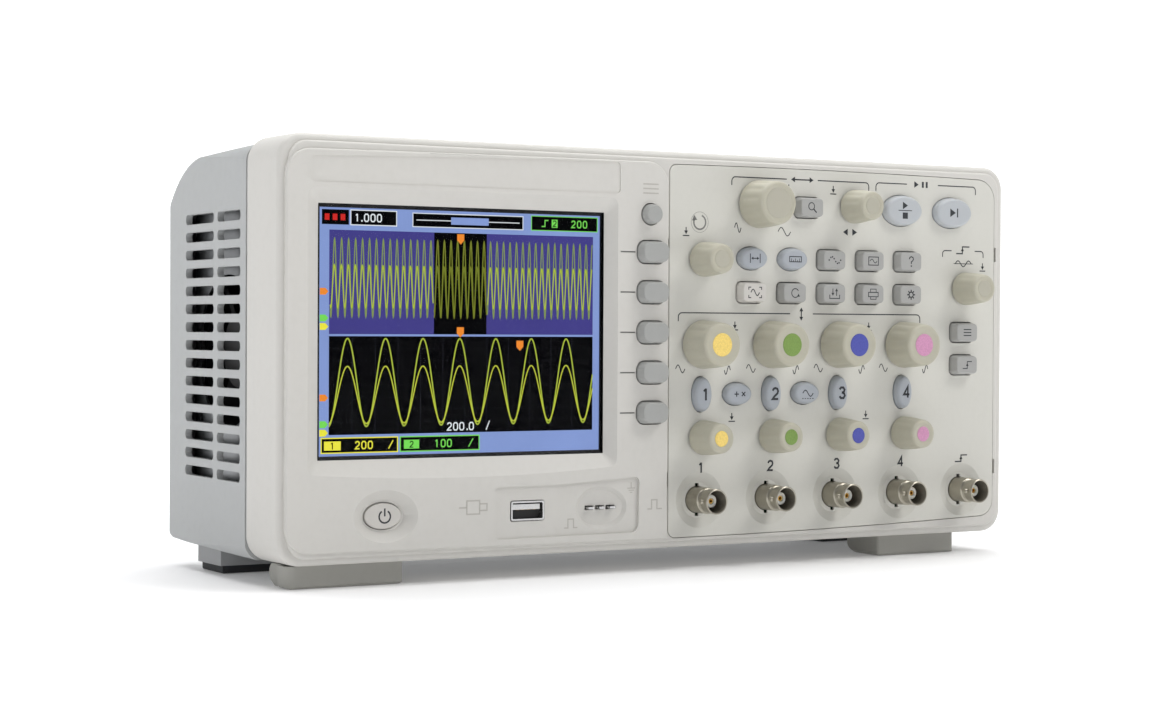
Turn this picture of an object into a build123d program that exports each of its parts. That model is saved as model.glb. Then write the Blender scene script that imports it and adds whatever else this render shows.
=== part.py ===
from build123d import *
import os
from math import cos, sin, pi, radians

os.makedirs("parts", exist_ok=True)

# ---------------------------------------------------------------------------
# Benchtop digital oscilloscope, four input channels, millimetres.
# Frame: +Z up, the front panel looks to -Y, X runs to the right seen from the
# front.  Everything below is drawn with y = 0 on the raised front face and is
# moved back by Y_SHIFT when it is written, so that the origin ends up in the
# middle of the footprint, on the surface that the feet stand on.
# ---------------------------------------------------------------------------

# overall
W = 324.6                 # width of the case
Z_TOP = 157.8             # top of the bezel above the table
Z_BOT = 8.2               # underside of the bezel
KNOB_L = 13.5             # large knobs stand this far in front of y = 0
Y_SEAM = 30.1             # joint between bezel and rear cover
Y_REAR = 113.5            # rear face of the cover
BUMPER = 2.2              # rear bumpers
DEPTH = KNOB_L + Y_REAR + BUMPER          # 129.2 over everything
Y_SHIFT = (Y_REAR + BUMPER - KNOB_L) / 2  # 51.1

# bezel
R_CASE = 9.0              # corner radius seen from the front
Y_RIM = 2.2               # front of the outer rim
Y_LEVEL = 1.0             # flat of the inner panel
WALL = 2.5
Y_WALL = 5.0              # back of the front wall
SPLIT_X = -4.0            # right edge of the raised display section

# display
WIN_L, WIN_R, WIN_B, WIN_T = -146.8, -30.6, 44.6, 133.9   # opening at its floor
BEV_L, BEV_R, BEV_B, BEV_T = -152.1, -26.5, 39.6, 139.4   # opening at the face
BEV_SAG = 2.2             # the lower edge bows down by this much
Y_WIN = 3.6               # floor of the bevel
LCD_L, LCD_R, LCD_B, LCD_T = -145.6, -31.4, 45.9, 132.6   # active area
Y_LCD = 4.9

# control plate
Y_PLATE = 0.8
T_PLATE = 2.5
Y_PLATE_BACK = Y_PLATE + T_PLATE
GAP = 0.3                 # oval keys in their holes
GAP_R = 0.45              # rectangular and round keys in theirs

# boards behind the panel
Y_PCB = 9.5
T_PCB = 1.6
Y_MAIN = 22.0
Y_SHIELD = 26.6

TRAVEL = 0.8              # key travel
P_TRAVEL = 1.6            # power button travel

# column and row centres on the panel
CH_X = [11.3, 43.7, 76.0, 108.3]
EXT_X = 139.8
Z_SCALE, Z_CHKEY, Z_POS, Z_BNC = 85.0, 66.1, 49.7, 26.0
SOFT_X, SOFT_Z = -11.8, [119.5, 104.5, 89.5, 74.5, 59.5]

# keys: name -> (shape, x, z, width, height, stands proud, corner radius)
KEYS = {
    "menu_on_off_button": ("round", -12.2, 133.7, 7.6, 7.6, 3.3, 0),
    "menu_zoom_button": ("rect", 60.6, 138.4, 11.8, 7.8, 4.0, 1.9),
    "run_stop_button": ("oval", 107.2, 138.6, 18.6, 12.2, 3.2, 0),
    "single_button": ("oval", 133.0, 138.4, 18.6, 12.2, 3.2, 0),
    "cursors_button": ("oval", 34.0, 118.1, 13.0, 8.7, 3.2, 0),
    "measure_button": ("oval", 53.1, 118.1, 13.0, 8.7, 3.2, 0),
    "acquire_button": ("rect", 71.6, 118.1, 11.8, 7.8, 4.0, 1.9),
    "display_button": ("rect", 90.7, 118.1, 11.8, 7.8, 4.0, 1.9),
    "help_button": ("rect", 109.8, 118.2, 11.8, 7.8, 4.0, 1.9),
    "auto_scale_button": ("rect", 33.5, 105.0, 11.8, 7.8, 4.0, 1.9),
    "default_setup_button": ("rect", 52.5, 105.0, 11.8, 7.8, 4.0, 1.9),
    "save_recall_button": ("rect", 71.6, 105.0, 11.8, 7.8, 4.0, 1.9),
    "print_button": ("rect", 90.7, 105.0, 11.8, 7.8, 4.0, 1.9),
    "utility_button": ("rect", 109.8, 105.0, 11.8, 7.8, 4.0, 1.9),
    "trigger_menu_button": ("rect", 139.2, 90.0, 11.8, 7.8, 4.0, 1.9),
    "trigger_force_button": ("rect", 139.2, 76.8, 11.8, 7.8, 4.0, 1.9),
    "channel_1_button": ("oval", 11.1, Z_CHKEY, 7.9, 13.3, 3.0, 0),
    "channel_2_button": ("oval", 43.5, Z_CHKEY, 7.9, 13.3, 3.0, 0),
    "channel_3_button": ("oval", 75.8, Z_CHKEY, 7.9, 13.3, 3.0, 0),
    "channel_4_button": ("oval", 108.1, Z_CHKEY, 7.9, 13.3, 3.0, 0),
    "math_button": ("oval", 27.3, Z_CHKEY, 12.2, 8.6, 3.2, 0),
    "ref_button": ("oval", 59.5, Z_CHKEY, 12.2, 8.6, 3.2, 0),
}
for i, z in enumerate(SOFT_Z):
    KEYS["softkey_%d_button" % (i + 1)] = ("rect", SOFT_X, z, 12.3, 8.2, 4.0, 3.2)
ON_BEZEL = {"menu_on_off_button"} | {"softkey_%d_button" % k for k in range(1, 6)}

# knobs: name -> (x, z, radius, stands out from y = 0)
R_BIG, R_SMALL = 9.2, 6.6
KNOBS = {
    "horizontal_scale_knob": (37.2, 139.0, R_BIG, KNOB_L),
    "horizontal_position_knob": (83.1, 139.4, R_SMALL, 12.6),
    "entry_knob": (11.9, 117.3, R_SMALL, 12.6),
    "trigger_level_knob": (140.2, 107.8, R_SMALL, 12.6),
}
for i, x in enumerate(CH_X):
    KNOBS["channel_%d_scale_knob" % (i + 1)] = (x + 0.3, Z_SCALE, R_BIG, KNOB_L)
    KNOBS["channel_%d_position_knob" % (i + 1)] = (x + 0.8, Z_POS, R_SMALL, 12.6)
R_SHAFT = 3.0
Y_SHAFT_END = 8.9

# power key
PWR_X, PWR_Z = -121.9, 24.6
PWR_W, PWR_H = 14.4, 9.2
Y_DISH = 3.2              # floor of the dish around it
Y_PWR = 2.3               # face of the key
# usb and probe compensation
USB_X, USB_Z = -64.4, 24.6
PC_X, PC_Z = -32.7, 24.6
PC_DX = (-4.6, 0, 4.6)

# feet
TILT_L = (-156.4, -111.6)      # left foot, x range
TILT_R = (102.0, 142.6)        # right foot, x range
Y_HINGE, Z_HINGE = 24.0, 4.5
R_PIN = 1.5

# handle
HND_X = 96.0                   # half length over the arms
HND_Y0, HND_Y1 = 38.0, 86.0    # the pocket in the top of the cover
HND_PIVOT_Y, HND_PIVOT_Z = 79.0, 146.4


# ------------------------------------------------------------------ helpers
def FP(y):
    """Plane facing the front at depth y: local x = X, local y = Z."""
    return Plane(origin=(0, y, 0), x_dir=(1, 0, 0), z_dir=(0, -1, 0))


def prism(sk, y0, y1):
    return extrude(FP(y1) * sk, amount=y1 - y0, dir=(0, -1, 0))


def SP(x):
    """Plane facing +X at x: local x = Y, local y = Z."""
    return Plane(origin=(x, 0, 0), x_dir=(0, 1, 0), z_dir=(1, 0, 0))


def side(sk, x0, x1):
    """Prism along X of a sketch drawn with local x = Y and local y = Z."""
    return extrude(SP(x0) * sk, amount=x1 - x0, dir=(1, 0, 0))


def bx(x0, x1, y0, y1, z0, z1):
    return Pos((x0 + x1) / 2, (y0 + y1) / 2, (z0 + z1) / 2) * Box(x1 - x0, y1 - y0, z1 - z0)


def cyl_y(x, z, r, y0, y1):
    return prism(Pos(x, z) * Circle(r), y0, y1)


def cyl_x(y, z, r, x0, x1):
    return side(Pos(y, z) * Circle(r), x0, x1)


def oval(w, h):
    return Ellipse(w / 2, h / 2)


def front_edges(s):
    return s.faces().sort_by(Axis.Y)[0].edges()


def outline(pts):
    """Closed face of lines and three-point arcs.  pts: list of
    ('L', p) or ('A', mid, p), starting at the last point."""
    start = pts[-1][-1]
    e = []
    cur = start
    for p in pts:
        if p[0] == "L":
            e.append(Edge.make_line((*cur, 0), (*p[1], 0)))
        else:
            e.append(Edge.make_three_point_arc((*cur, 0), (*p[1], 0), (*p[2], 0)))
        cur = p[-1]
    return Face(Wire(e))


PARTS = {}


def put(name, shape):
    PARTS[name] = shape


# ---------------------------------------------------------------- outlines
def key_sketch(k, grow=0.0):
    shape, x, z, w, h, out, r = KEYS[k]
    w2, h2 = w + 2 * grow, h + 2 * grow
    if shape == "round":
        return Pos(x, z) * Circle(w2 / 2)
    if shape == "oval":
        return Pos(x, z) * oval(w2, h2)
    return Pos(x, z) * RectangleRounded(w2, h2, max(0.3, r + grow))


def plate_outline(g=0.0):
    """Control plate, bowed slightly above and below; g grows it."""
    l, r = -3.2 - g, 156.4 + g
    ru, rc, rs = 8.5 + g, 6.5 + g, max(1.2, 3.0 + g)
    zt0, ztm, zt1 = 152.8 + g, 153.15 + g, 152.4 + g
    zb0, zbm, zb1 = 12.1 - g, 12.8 - g, 14.9 - g
    k = 0.2929
    return outline([
        ("A", (75, ztm), (r - ru, zt1)),
        ("A", (r - ru * k, zt1 - ru * k), (r, zt1 - ru)),
        ("L", (r, zb1 + rc)),
        ("A", (r - rc * k, zb1 + rc * k), (r - rc, zb1)),
        ("A", (75, zbm), (l + rs, zb0)),
        ("A", (l + rs * k, zb0 + rs * k), (l, zb0 + rs)),
        ("L", (l, zt0 - rs)),
        ("A", (l + rs * k, zt0 - rs * k), (l + rs, zt0)),
    ])


def display_section():
    l, r = -160.1, SPLIT_X
    k = 0.2929
    return outline([
        ("A", (-80, 153.1), (r - 9, 153.5)),
        ("A", (r - 9 * k, 153.5 - 9 * k), (r, 153.5 - 9)),
        ("L", (r, 11.7)),
        ("A", (-80, 11.9), (l + 9, 12.6)),
        ("A", (l + 9 * k, 12.6 + 9 * k), (l, 12.6 + 9)),
        ("L", (l, 152.5 - 9)),
        ("A", (l + 9 * k, 152.5 - 9 * k), (l + 9, 152.5)),
    ])


def bevel_face(l, r, b, t, sag, rc, y):
    k = 0.2929
    m = (l + r) / 2
    f = outline([
        ("L", (r - rc, t)),
        ("A", (r - rc * k, t - rc * k), (r, t - rc)),
        ("L", (r, b + rc)),
        ("A", (r - rc * k, b + rc * k), (r - rc, b)),
        ("A", (m, b - sag), (l + rc, b)),
        ("A", (l + rc * k, b + rc * k), (l, b + rc)),
        ("L", (l, t - rc)),
        ("A", (l + rc * k, t - rc * k), (l + rc, t)),
    ])
    return FP(y) * f


# ------------------------------------------------------------- front bezel
def make_bezel():
    zc, hh = (Z_TOP + Z_BOT) / 2, Z_TOP - Z_BOT
    rim = prism(Pos(0, zc) * RectangleRounded(W, hh, R_CASE), Y_RIM, Y_SEAM)
    rim = fillet(rim.faces().sort_by(Axis.Y)[0].edges(), 2.0)
    back_top = [e for e in rim.faces().sort_by(Axis.Y)[-1].edges()
                if e.center().Z > Z_TOP - 1]
    rim = fillet(back_top, 1.6) if back_top else rim
    lvl = prism(Pos(0, zc) * RectangleRounded(W - 7.0, hh - 5.0, 7.0), Y_LEVEL, 6)
    lvl = fillet(front_edges(lvl), 0.9)
    raised = prism(display_section(), 0, 6)
    raised = fillet(front_edges(raised), 0.7)
    s = rim + lvl + raised
    # hollow inside
    s -= prism(Pos(0, zc) * RectangleRounded(W - 2 * WALL, hh - 2 * WALL, R_CASE - WALL), Y_WALL, Y_SEAM + 1)
    # seat and opening for the control plate
    s -= prism(plate_outline(0.25), -1, Y_PLATE_BACK)
    s -= prism(plate_outline(-3.5), -1, 6)
    # clip slots at the plate's edges
    for x, z in ((-3.9, 122.0), (-3.9, 34.0), (157.1, 122.0), (157.1, 35.0)):
        s -= bx(x - 0.45, x + 0.45, 0.4, 7, z - 2.9, z + 2.9)
    # display opening with sloped sides, its lower edge bowed
    bev = Solid.make_loft([
        bevel_face(BEV_L, BEV_R, BEV_B, BEV_T, BEV_SAG, 3.2, -0.01).outer_wire(),
        bevel_face(WIN_L, WIN_R, WIN_B, WIN_T, 0.02, 1.2, Y_WIN + 0.01).outer_wire()])
    s -= bev
    s -= bx(WIN_L, WIN_R, 0.5, 6, WIN_B, WIN_T)
    s -= bx(WIN_L - 2.2, WIN_R + 2.2, Y_WIN, 6, WIN_B - 2.2, WIN_T + 2.2)
    # blank name plate field
    np_ = outline([
        ("A", (-88, 151.7), (-26.9, 152.7)), ("L", (-25.6, 151.6)), ("L", (-25.6, 142.0)),
        ("L", (-26.8, 141.0)), ("L", (-150.0, 141.0)), ("L", (-151.2, 142.0)),
        ("L", (-151.2, 148.9)), ("L", (-150.0, 150.0))])
    s -= prism(np_, -1, 0.35)
    # fine lines from the screen to the soft keys
    for z in SOFT_Z:
        s -= bx(-25.4, SOFT_X - 7.0, -1, 0.3, z - 0.3, z + 0.3)
    # holes for the keys of the display section
    for k in ON_BEZEL:
        s -= prism(key_sketch(k, GAP_R), -2, 8)
    # power key: oval dish and hole
    dish = Solid.make_loft([
        (FP(-0.01) * (Pos(PWR_X, PWR_Z) * oval(25.2, 18.6))).wires()[0],
        (FP(Y_DISH) * (Pos(PWR_X, PWR_Z) * oval(PWR_W + 2.4, PWR_H + 2.0))).wires()[0]])
    s -= dish
    s -= prism(Pos(PWR_X, PWR_Z) * oval(PWR_W + 0.7, PWR_H + 0.7), -1, 8)
    # recessed field with the usb socket and the probe compensation terminals
    rec = outline([
        ("A", (-47, 34.0), (-19.4, 35.7)), ("A", (-17.2, 35.0), (-16.6, 32.8)),
        ("L", (-16.9, 18.2)), ("A", (-17.9, 15.8), (-20.3, 14.9)),
        ("L", (-76.6, 14.6)), ("A", (-77.7, 15.0), (-78.1, 16.2)),
        ("L", (-78.1, 31.8)), ("A", (-77.7, 33.0), (-76.6, 33.5))])
    s -= prism(rec, -1, 0.8)
    s -= prism(rec, -1, 1.1) & bx(-51.2, 0, -1, 2, 10, 40)
    s -= prism(Pos(USB_X, USB_Z) * RectangleRounded(14.4, 7.6, 1.0), -1, 8)
    dish2 = Solid.make_loft([
        (FP(0.79) * (Pos(PC_X, PC_Z) * oval(23.0, 16.6))).wires()[0],
        (FP(2.2) * (Pos(PC_X, PC_Z) * oval(19.5, 13.0))).wires()[0]])
    s -= dish2
    for dx in PC_DX:
        s -= bx(PC_X + dx - 1.9, PC_X + dx + 1.9, 0, 8, PC_Z - 0.8, PC_Z + 0.8)
    # hinge lugs for the two tilt feet
    for x0, x1 in (TILT_L, TILT_R):
        for a, b in ((x0 + 4.3, x0 + 8.3), (x1 - 8.3, x1 - 4.3)):
            prof = Pos(Y_HINGE, Z_HINGE) * Circle(2.35)
            lug = side(prof, a, b) + bx(a, b, Y_HINGE - 2.35, Y_HINGE + 2.35, Z_HINGE, Z_BOT + 1)
            s += lug
            s -= cyl_x(Y_HINGE, Z_HINGE, R_PIN + 0.05, a - 0.1, b + 0.1)
    return s


# ----------------------------------------------------------- control plate
def make_plate():
    s = prism(plate_outline(0), Y_PLATE, Y_PLATE_BACK)
    s = fillet(front_edges(s), 0.25)
    for k in KEYS:
        if k not in ON_BEZEL:
            s -= prism(key_sketch(k, GAP if KEYS[k][0] == "oval" else GAP_R), -2, 8)
    for n, (x, z, r, out) in KNOBS.items():
        s -= cyl_y(x, z, 4.0, -2, 8)
    for x in BNC_X:
        d = Solid.make_loft([
            (FP(Y_PLATE - 0.01) * (Pos(x, Z_BNC) * Circle(10.7))).wires()[0],
            (FP(Y_PLATE + 1.7) * (Pos(x, Z_BNC) * Circle(6.9))).wires()[0]])
        s -= d
        s -= cyl_y(x, Z_BNC, 5.25, -2, 8)
        for dz in (-5.4, 5.4):
            s -= bx(x - 0.85, x + 0.85, -2, 8, Z_BNC + dz - 0.85, Z_BNC + dz + 0.85)
    return s


BNC_X = [10.9, 43.1, 75.3, 107.5, 139.6]


# -------------------------------------------------------------------- keys
def make_key(k):
    shape, x, z, w, h, out, r = KEYS[k]
    surf = 0.0 if k in ON_BEZEL else Y_PLATE
    back = Y_WALL if k in ON_BEZEL else Y_PLATE_BACK
    yf = surf - out
    body = prism(key_sketch(k, 0), surf - 0.25 * out, back + 0.6)
    # crown: drafted cap with a rounded edge
    if shape == "rect":
        cap = Solid.make_loft([
            (FP(surf - 0.25 * out) * (Pos(x, z) * RectangleRounded(w, h, r))).wires()[0],
            (FP(yf) * (Pos(x, z) * RectangleRounded(w - 1.3, h - 0.9, r - 0.3))).wires()[0]])
        cap = fillet(front_edges(cap), 0.55)
    elif shape == "round":
        cap = Solid.make_loft([
            (FP(surf - 0.25 * out) * (Pos(x, z) * Circle(w / 2))).wires()[0],
            (FP(yf) * (Pos(x, z) * Circle(w / 2 - 0.5))).wires()[0]])
        cap = fillet(front_edges(cap), 0.5)
    else:
        cap = Solid.make_loft([
            (FP(surf - 0.25 * out) * (Pos(x, z) * oval(w, h))).wires()[0],
            (FP(yf) * (Pos(x, z) * oval(w - 1.0, h - 1.0))).wires()[0]])
        cap = fillet(front_edges(cap), 1.25)
    # retaining flange behind the panel and the stem over the switch
    fl = prism(Pos(x, z) * RectangleRounded(w + 1.6, h + 1.6, 1.2), back + 0.35, back + 1.15)
    yb = Y_PCB - 2.0 - TRAVEL - 0.5
    stem = prism(Pos(x, z) * Circle(1.6), back + 0.5, yb) if yb > back + 1.2 else None
    s = body + cap + fl
    if stem is not None:
        s += stem
    return s


def make_power_key():
    cap = prism(Pos(PWR_X, PWR_Z) * oval(PWR_W, PWR_H), Y_PWR, Y_WALL + 0.6)
    cap = fillet(front_edges(cap), 0.5)
    s = cap + prism(Pos(PWR_X, PWR_Z) * oval(PWR_W + 2.4, PWR_H + 2.4), Y_WALL + 0.35, Y_WALL + 1.25)
    s += cyl_y(PWR_X, PWR_Z, 2.0, Y_WALL + 1.0, Y_PCB + 1.5 - P_TRAVEL - 0.5)
    return s


# ------------------------------------------------------------------- knobs
def make_knob(n):
    x, z, r, out = KNOBS[n]
    big = r > 8
    yb = 0.1                          # back of the skirt
    body = Solid.make_loft([
        (FP(yb) * (Pos(x, z) * Circle(r))).wires()[0],
        (FP(-out + 0.9) * (Pos(x, z) * Circle(r - 0.85))).wires()[0]])
    cap = cyl_y(x, z, r - 1.1, -out, -out + 1.8)
    cap = fillet(front_edges(cap), 0.5)
    s = body + cap
    nfl = 18 if big else 14
    cuts = []
    for i in range(nfl):
        a = 2 * pi * i / nfl
        cuts.append(cyl_y(x + (r + 0.1) * cos(a), z + (r + 0.1) * sin(a), 0.55, -out - 1, -1.2))
    s -= cuts
    # hollow behind the skirt, around the hub
    s -= cyl_y(x, z, r - 1.8, -3.5, 1) - cyl_y(x, z, R_SHAFT + 1.4, -4, 2)
    # shallow dish in the cap
    s -= cyl_y(x, z, r - (3.4 if big else 2.6), -out - 1, -out + 0.5)
    s += cyl_y(x, z, R_SHAFT, -1, Y_SHAFT_END)
    return s


# --------------------------------------------------------------- rear cover
def cover_prism(o):
    """Solid of the cover, drawn in by o, reaching forward past the seam."""
    prof = outline([
        ("L", (18.0, 155.9 - o)),
        ("L", (72.0, 153.4 - o)),
        ("A", (98.9 - 0.45 * o, 145.4 - 0.9 * o), (Y_REAR - o, 130.6 - 0.35 * o)),
        ("L", (Y_REAR - o, 21.0)),
        ("A", (Y_REAR - 3.2 - 0.7 * o, 13.6 + 0.7 * o), (102.6 - 0.2 * o, 10.7 + o)),
        ("L", (18.0, 8.0 + o)),
    ])
    a = side(prof, -W / 2 - 1, W / 2 + 1)
    xs = W / 2 - o
    xr = xs - 0.03 * (Y_REAR - Y_SEAM)
    rr = 6.0
    plan = outline([
        ("L", (xs, 18.0)), ("L", (xs, Y_SEAM)), ("L", (xr, Y_REAR - o - rr)),
        ("A", (xr - 0.29 * rr, Y_REAR - o - 0.29 * rr), (xr - rr, Y_REAR - o)),
        ("L", (-(xr - rr), Y_REAR - o)),
        ("A", (-(xr - 0.29 * rr), Y_REAR - o - 0.29 * rr), (-xr, Y_REAR - o - rr)),
        ("L", (-xs, Y_SEAM)), ("L", (-xs, 18.0)),
    ])
    b = extrude(Plane.XY * plan, amount=200, dir=(0, 0, 1))
    zt, zb = 155.9 - o, 8.0 + o
    c = prism(Pos(0, (zt + zb) / 2) * RectangleRounded(2 * xs, zt - zb, 7.0 - 0.5 * o), 17, 120)
    return a & b & c


VENT_Y = ((35.3, 58.3), (61.9, 91.4))
VENT_ROWS, VENT_PITCH, VENT_Z0, VENT_H = 15, 6.66, 35.5, 3.7
INLET_X, INLET_Z = 105.0, 40.0
BAY = (-34.0, 44.0, 26.0, 54.0)          # rear connector bay: x0, x1, z0, z1
BAY_D = 13.0
REAR_BNC = (-18.0, 40.0)
REAR_USB = (22.0, 40.0)
SCREWS = [(-128, 128.0), (128, 128.0), (-128, 24.0), (60, 24.0)]


def make_cover():
    s = cover_prism(0) - cover_prism(WALL)
    s -= bx(-200, 200, 0, Y_SEAM + 0.15, 0, 200)
    # solid pads around the pockets, then the pockets
    inner = cover_prism(0.5)
    s += bx(-HND_X - 9, HND_X + 9, HND_Y0 - 2.5, HND_Y1 + 2.5, 134.0, 160) & inner
    s += bx(BAY[0] - 2.5, BAY[1] + 2.5, Y_REAR - BAY_D - 2.5, Y_REAR - 1, BAY[2] - 2.5, BAY[3] + 2.5) & inner
    # handle pocket: arms and grip lie in it, fingers reach in from the front
    s -= bx(-HND_X - 5, HND_X + 5, HND_Y0, HND_Y1, 137.0, 160)
    s -= bx(BAY[0], BAY[1], Y_REAR - BAY_D, 130, BAY[2], BAY[3])
    # side vents
    for x0, x1 in ((-170, -150), (150, 170)):
        sk = []
        for i in range(VENT_ROWS):
            z = VENT_Z0 + VENT_H / 2 + VENT_PITCH * i
            for a, b in VENT_Y:
                sk.append(side(Pos((a + b) / 2, z) * RectangleRounded(b - a, VENT_H, 1.6), x0, x1))
        s -= sk
    # mains inlet, lock slot, rear connectors
    s -= bx(INLET_X - 14.2, INLET_X + 14.2, 100, 120, INLET_Z - 10.4, INLET_Z + 10.4)
    s -= prism(Pos(-90, 40) * RectangleRounded(7.0, 3.0, 1.2), 100, 120)
    s -= cyl_y(REAR_BNC[0], REAR_BNC[1], 6.4, 90, 110)
    s -= prism(Pos(*REAR_USB) * RectangleRounded(12.6, 11.4, 1.0), 90, 110)
    # rear bumpers
    for x in (-140, 140):
        for z in (26, 118):
            b = prism(Pos(x, z) * RectangleRounded(16, 10, 4.5), Y_REAR - 1.0, Y_REAR + BUMPER)
            b = fillet(b.faces().sort_by(Axis.Y)[-1].edges(), 1.0)
            s += b
    # screw wells with bosses that run forward to the shield
    for x, z in SCREWS:
        s += cyl_y(x, z, 5.5, 92, Y_REAR - 1)
        s -= cyl_y(x, z, 4.0, Y_REAR - 6.0, 130)
        s -= cyl_y(x, z, 1.75, 80, 130)
    # handle pivots: blind holes in the pocket's end walls
    for sx in (-1, 1):
        a, b = sorted((sx * (HND_X + 4.9), sx * (HND_X + 8.2)))
        s -= cyl_x(HND_PIVOT_Y, HND_PIVOT_Z, 2.55, a, b)
    return s


# ------------------------------------------------------------------ handle
def make_handle():
    """Bail handle lying in the pocket: a grip bar and two arms."""
    z1 = 152.6
    grip = bx(-HND_X, HND_X, 49, 60.5, z1 - 8.0, z1)
    grip = fillet(grip.edges().filter_by(Axis.X), 2.6)
    s = grip
    for sx in (-1, 1):
        a, b = sorted((sx * (HND_X - 11), sx * HND_X))
        arm = bx(a, b, 54, HND_PIVOT_Y + 4.0, HND_PIVOT_Z - 4.0, HND_PIVOT_Z + 4.0)
        ed = [e for e in arm.edges().filter_by(Axis.X) if e.center().Y > HND_PIVOT_Y]
        arm = fillet(ed, 3.9)
        s += arm
        c, d = sorted((sx * (HND_X - 1), sx * (HND_X + 8.0)))
        s += cyl_x(HND_PIVOT_Y, HND_PIVOT_Z, 2.5, c, d)
    return s


# --------------------------------------------------------------- tilt feet
def make_tilt(x0, x1, outer):
    """A bar folded flat under the front edge, hinged at its rear.  Its two
    pins turn in the bezel's lugs, each of which stands in a notch.  outer is
    -1 or 1: the end nearer the side of the case, rounded in plan."""
    r = Z_BOT - 0.4 - Z_HINGE         # rear and top keep this far from the pin
    q = 0.7071 * r
    prof = outline([
        ("L", (7.2, 0.8)), ("L", (8.0, 0.0)), ("L", (22.5, 0.0)),
        ("L", (Y_HINGE + 0.5 * r, Z_HINGE - 0.866 * r)),
        ("A", (Y_HINGE + r, Z_HINGE), (Y_HINGE, Z_HINGE + r)), ("L", (7.2, Z_HINGE + r))])
    s = side(prof, x0, x1)
    rl, rr = (4.0, 1.0) if outer < 0 else (1.0, 4.0)
    k = 0.2929
    plan = outline([
        ("A", (x0 + rl * k, 7.2 + rl * k), (x0 + rl, 7.2)), ("L", (x1 - rr, 7.2)),
        ("A", (x1 - rr * k, 7.2 + rr * k), (x1, 7.2 + rr)), ("L", (x1, 30)),
        ("L", (x0, 30)), ("L", (x0, 7.2 + rl))])
    s = s & extrude(plan, amount=12, dir=(0, 0, 1))
    s = s & prism(Pos((x0 + x1) / 2, 10) * RectangleRounded(x1 - x0, 20, 1.6), 5, 30)
    # the outer end is set in behind the bar
    if outer < 0:
        s -= bx(x0 - 1, x0 + 2.2, 15.4, 30, -1, 10)
    else:
        s -= bx(x1 - 2.2, x1 + 1, 15.4, 30, -1, 10)
    s -= bx(x0 + 10, x1 - 10, 11, 19, 2.6, 9)
    for a, b in ((x0 + 4.0, x0 + 8.6), (x1 - 8.6, x1 - 4.0)):
        s -= bx(a, b, Y_HINGE - 2.65, 30, Z_HINGE - 2.65, 10)
        s += cyl_x(Y_HINGE, Z_HINGE, R_PIN, a - 0.5, b + 0.5)
    return s


def make_rear_feet():
    out = []
    for sx in (-1, 1):
        a, b = sorted((sx * 118.0, sx * 156.4))
        blk = bx(a, b, 66.0, 88.0, 3.0, 9.7)
        cut = side(outline([("L", (60, 20)), ("L", (60, 9.32)), ("L", (95, 10.43)), ("L", (95, 20))]), a - 1, b + 1)
        blk -= cut
        pad = bx(a + 1.2, b - 1.2, 67.2, 86.8, 0, 3.0)
        pad = fillet(pad.faces().sort_by(Axis.Z)[0].edges(), 0.9)
        out += [blk, pad]
    return out


# --------------------------------------------------------------- connectors
def make_bnc(x, z, yf, face, back, sgn=-1):
    """One socket with its axis along Y, drawn looking to -Y with its tip at
    y = -10.4, then turned round for the rear one."""
    s = cyl_y(0, 0, 4.65, -11.2, 1.0)
    s += cyl_y(0, 0, 5.0, -5.0, 5.6)
    s += cyl_y(0, 0, 4.82, -11.2, -10.4)
    s += bx(-6.5, 6.5, 5.4, 14.0, -6.5, 6.5)
    for sx in (-1, 1):
        s += cyl_x(-8.2, 0, 0.95, min(sx * 4.0, sx * 5.75), max(sx * 4.0, sx * 5.75))
    s -= cyl_y(0, 0, 4.2, -12, -1.5)
    s += cyl_y(0, 0, 2.45, -7.4, -1.0)       # insulator
    s -= cyl_y(0, 0, 1.05, -9.0, -2.5)       # contact bore
    return s


def make_bncs():
    one = make_bnc(0, 0, 0, 0, 0)
    one = Compound(children=[one]).solids()[0] if not isinstance(one, Solid) else one
    out = [Pos(x, 0, Z_BNC) * one for x in BNC_X]
    rear = Rot(0, 0, 180) * one
    # tip of the rear socket stays inside the bay
    out.append(Pos(REAR_BNC[0], Y_REAR - 1.8 - 11.2, REAR_BNC[1]) * rear)
    return out


def make_usb():
    a = prism(Pos(USB_X, USB_Z) * RectangleRounded(13.8, 7.0, 0.7), 0.5, 16.0)
    a -= prism(Pos(USB_X, USB_Z) * RectangleRounded(12.6, 5.8, 0.5), 0, 9.5)
    a += bx(USB_X - 5.7, USB_X + 5.7, 1.6, 10, USB_Z + 0.4, USB_Z + 2.3)
    x, z = REAR_USB
    b = prism(Pos(x, z) * RectangleRounded(12.0, 10.8, 0.6), 86.0, Y_REAR - BAY_D + 1.5)
    b -= prism(Pos(x, z) * RectangleRounded(9.0, 7.8, 1.4), 92.0, 120)
    b += bx(x - 2.9, x + 2.9, 90, Y_REAR - BAY_D + 0.5, z - 1.6, z + 1.6)
    return [a, b]


def make_probe_comp():
    out = []
    for dx in PC_DX:
        x = PC_X + dx
        t = bx(x - 1.5, x + 1.5, -0.4, Y_MAIN, PC_Z - 0.4, PC_Z + 0.4)
        t = fillet([e for e in t.edges().filter_by(Axis.Z) if e.center().Y < 0], 1.2)
        t -= prism(Pos(x, PC_Z) * Circle(0.01), 30, 31)
        out.append(t)
    return out


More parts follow.
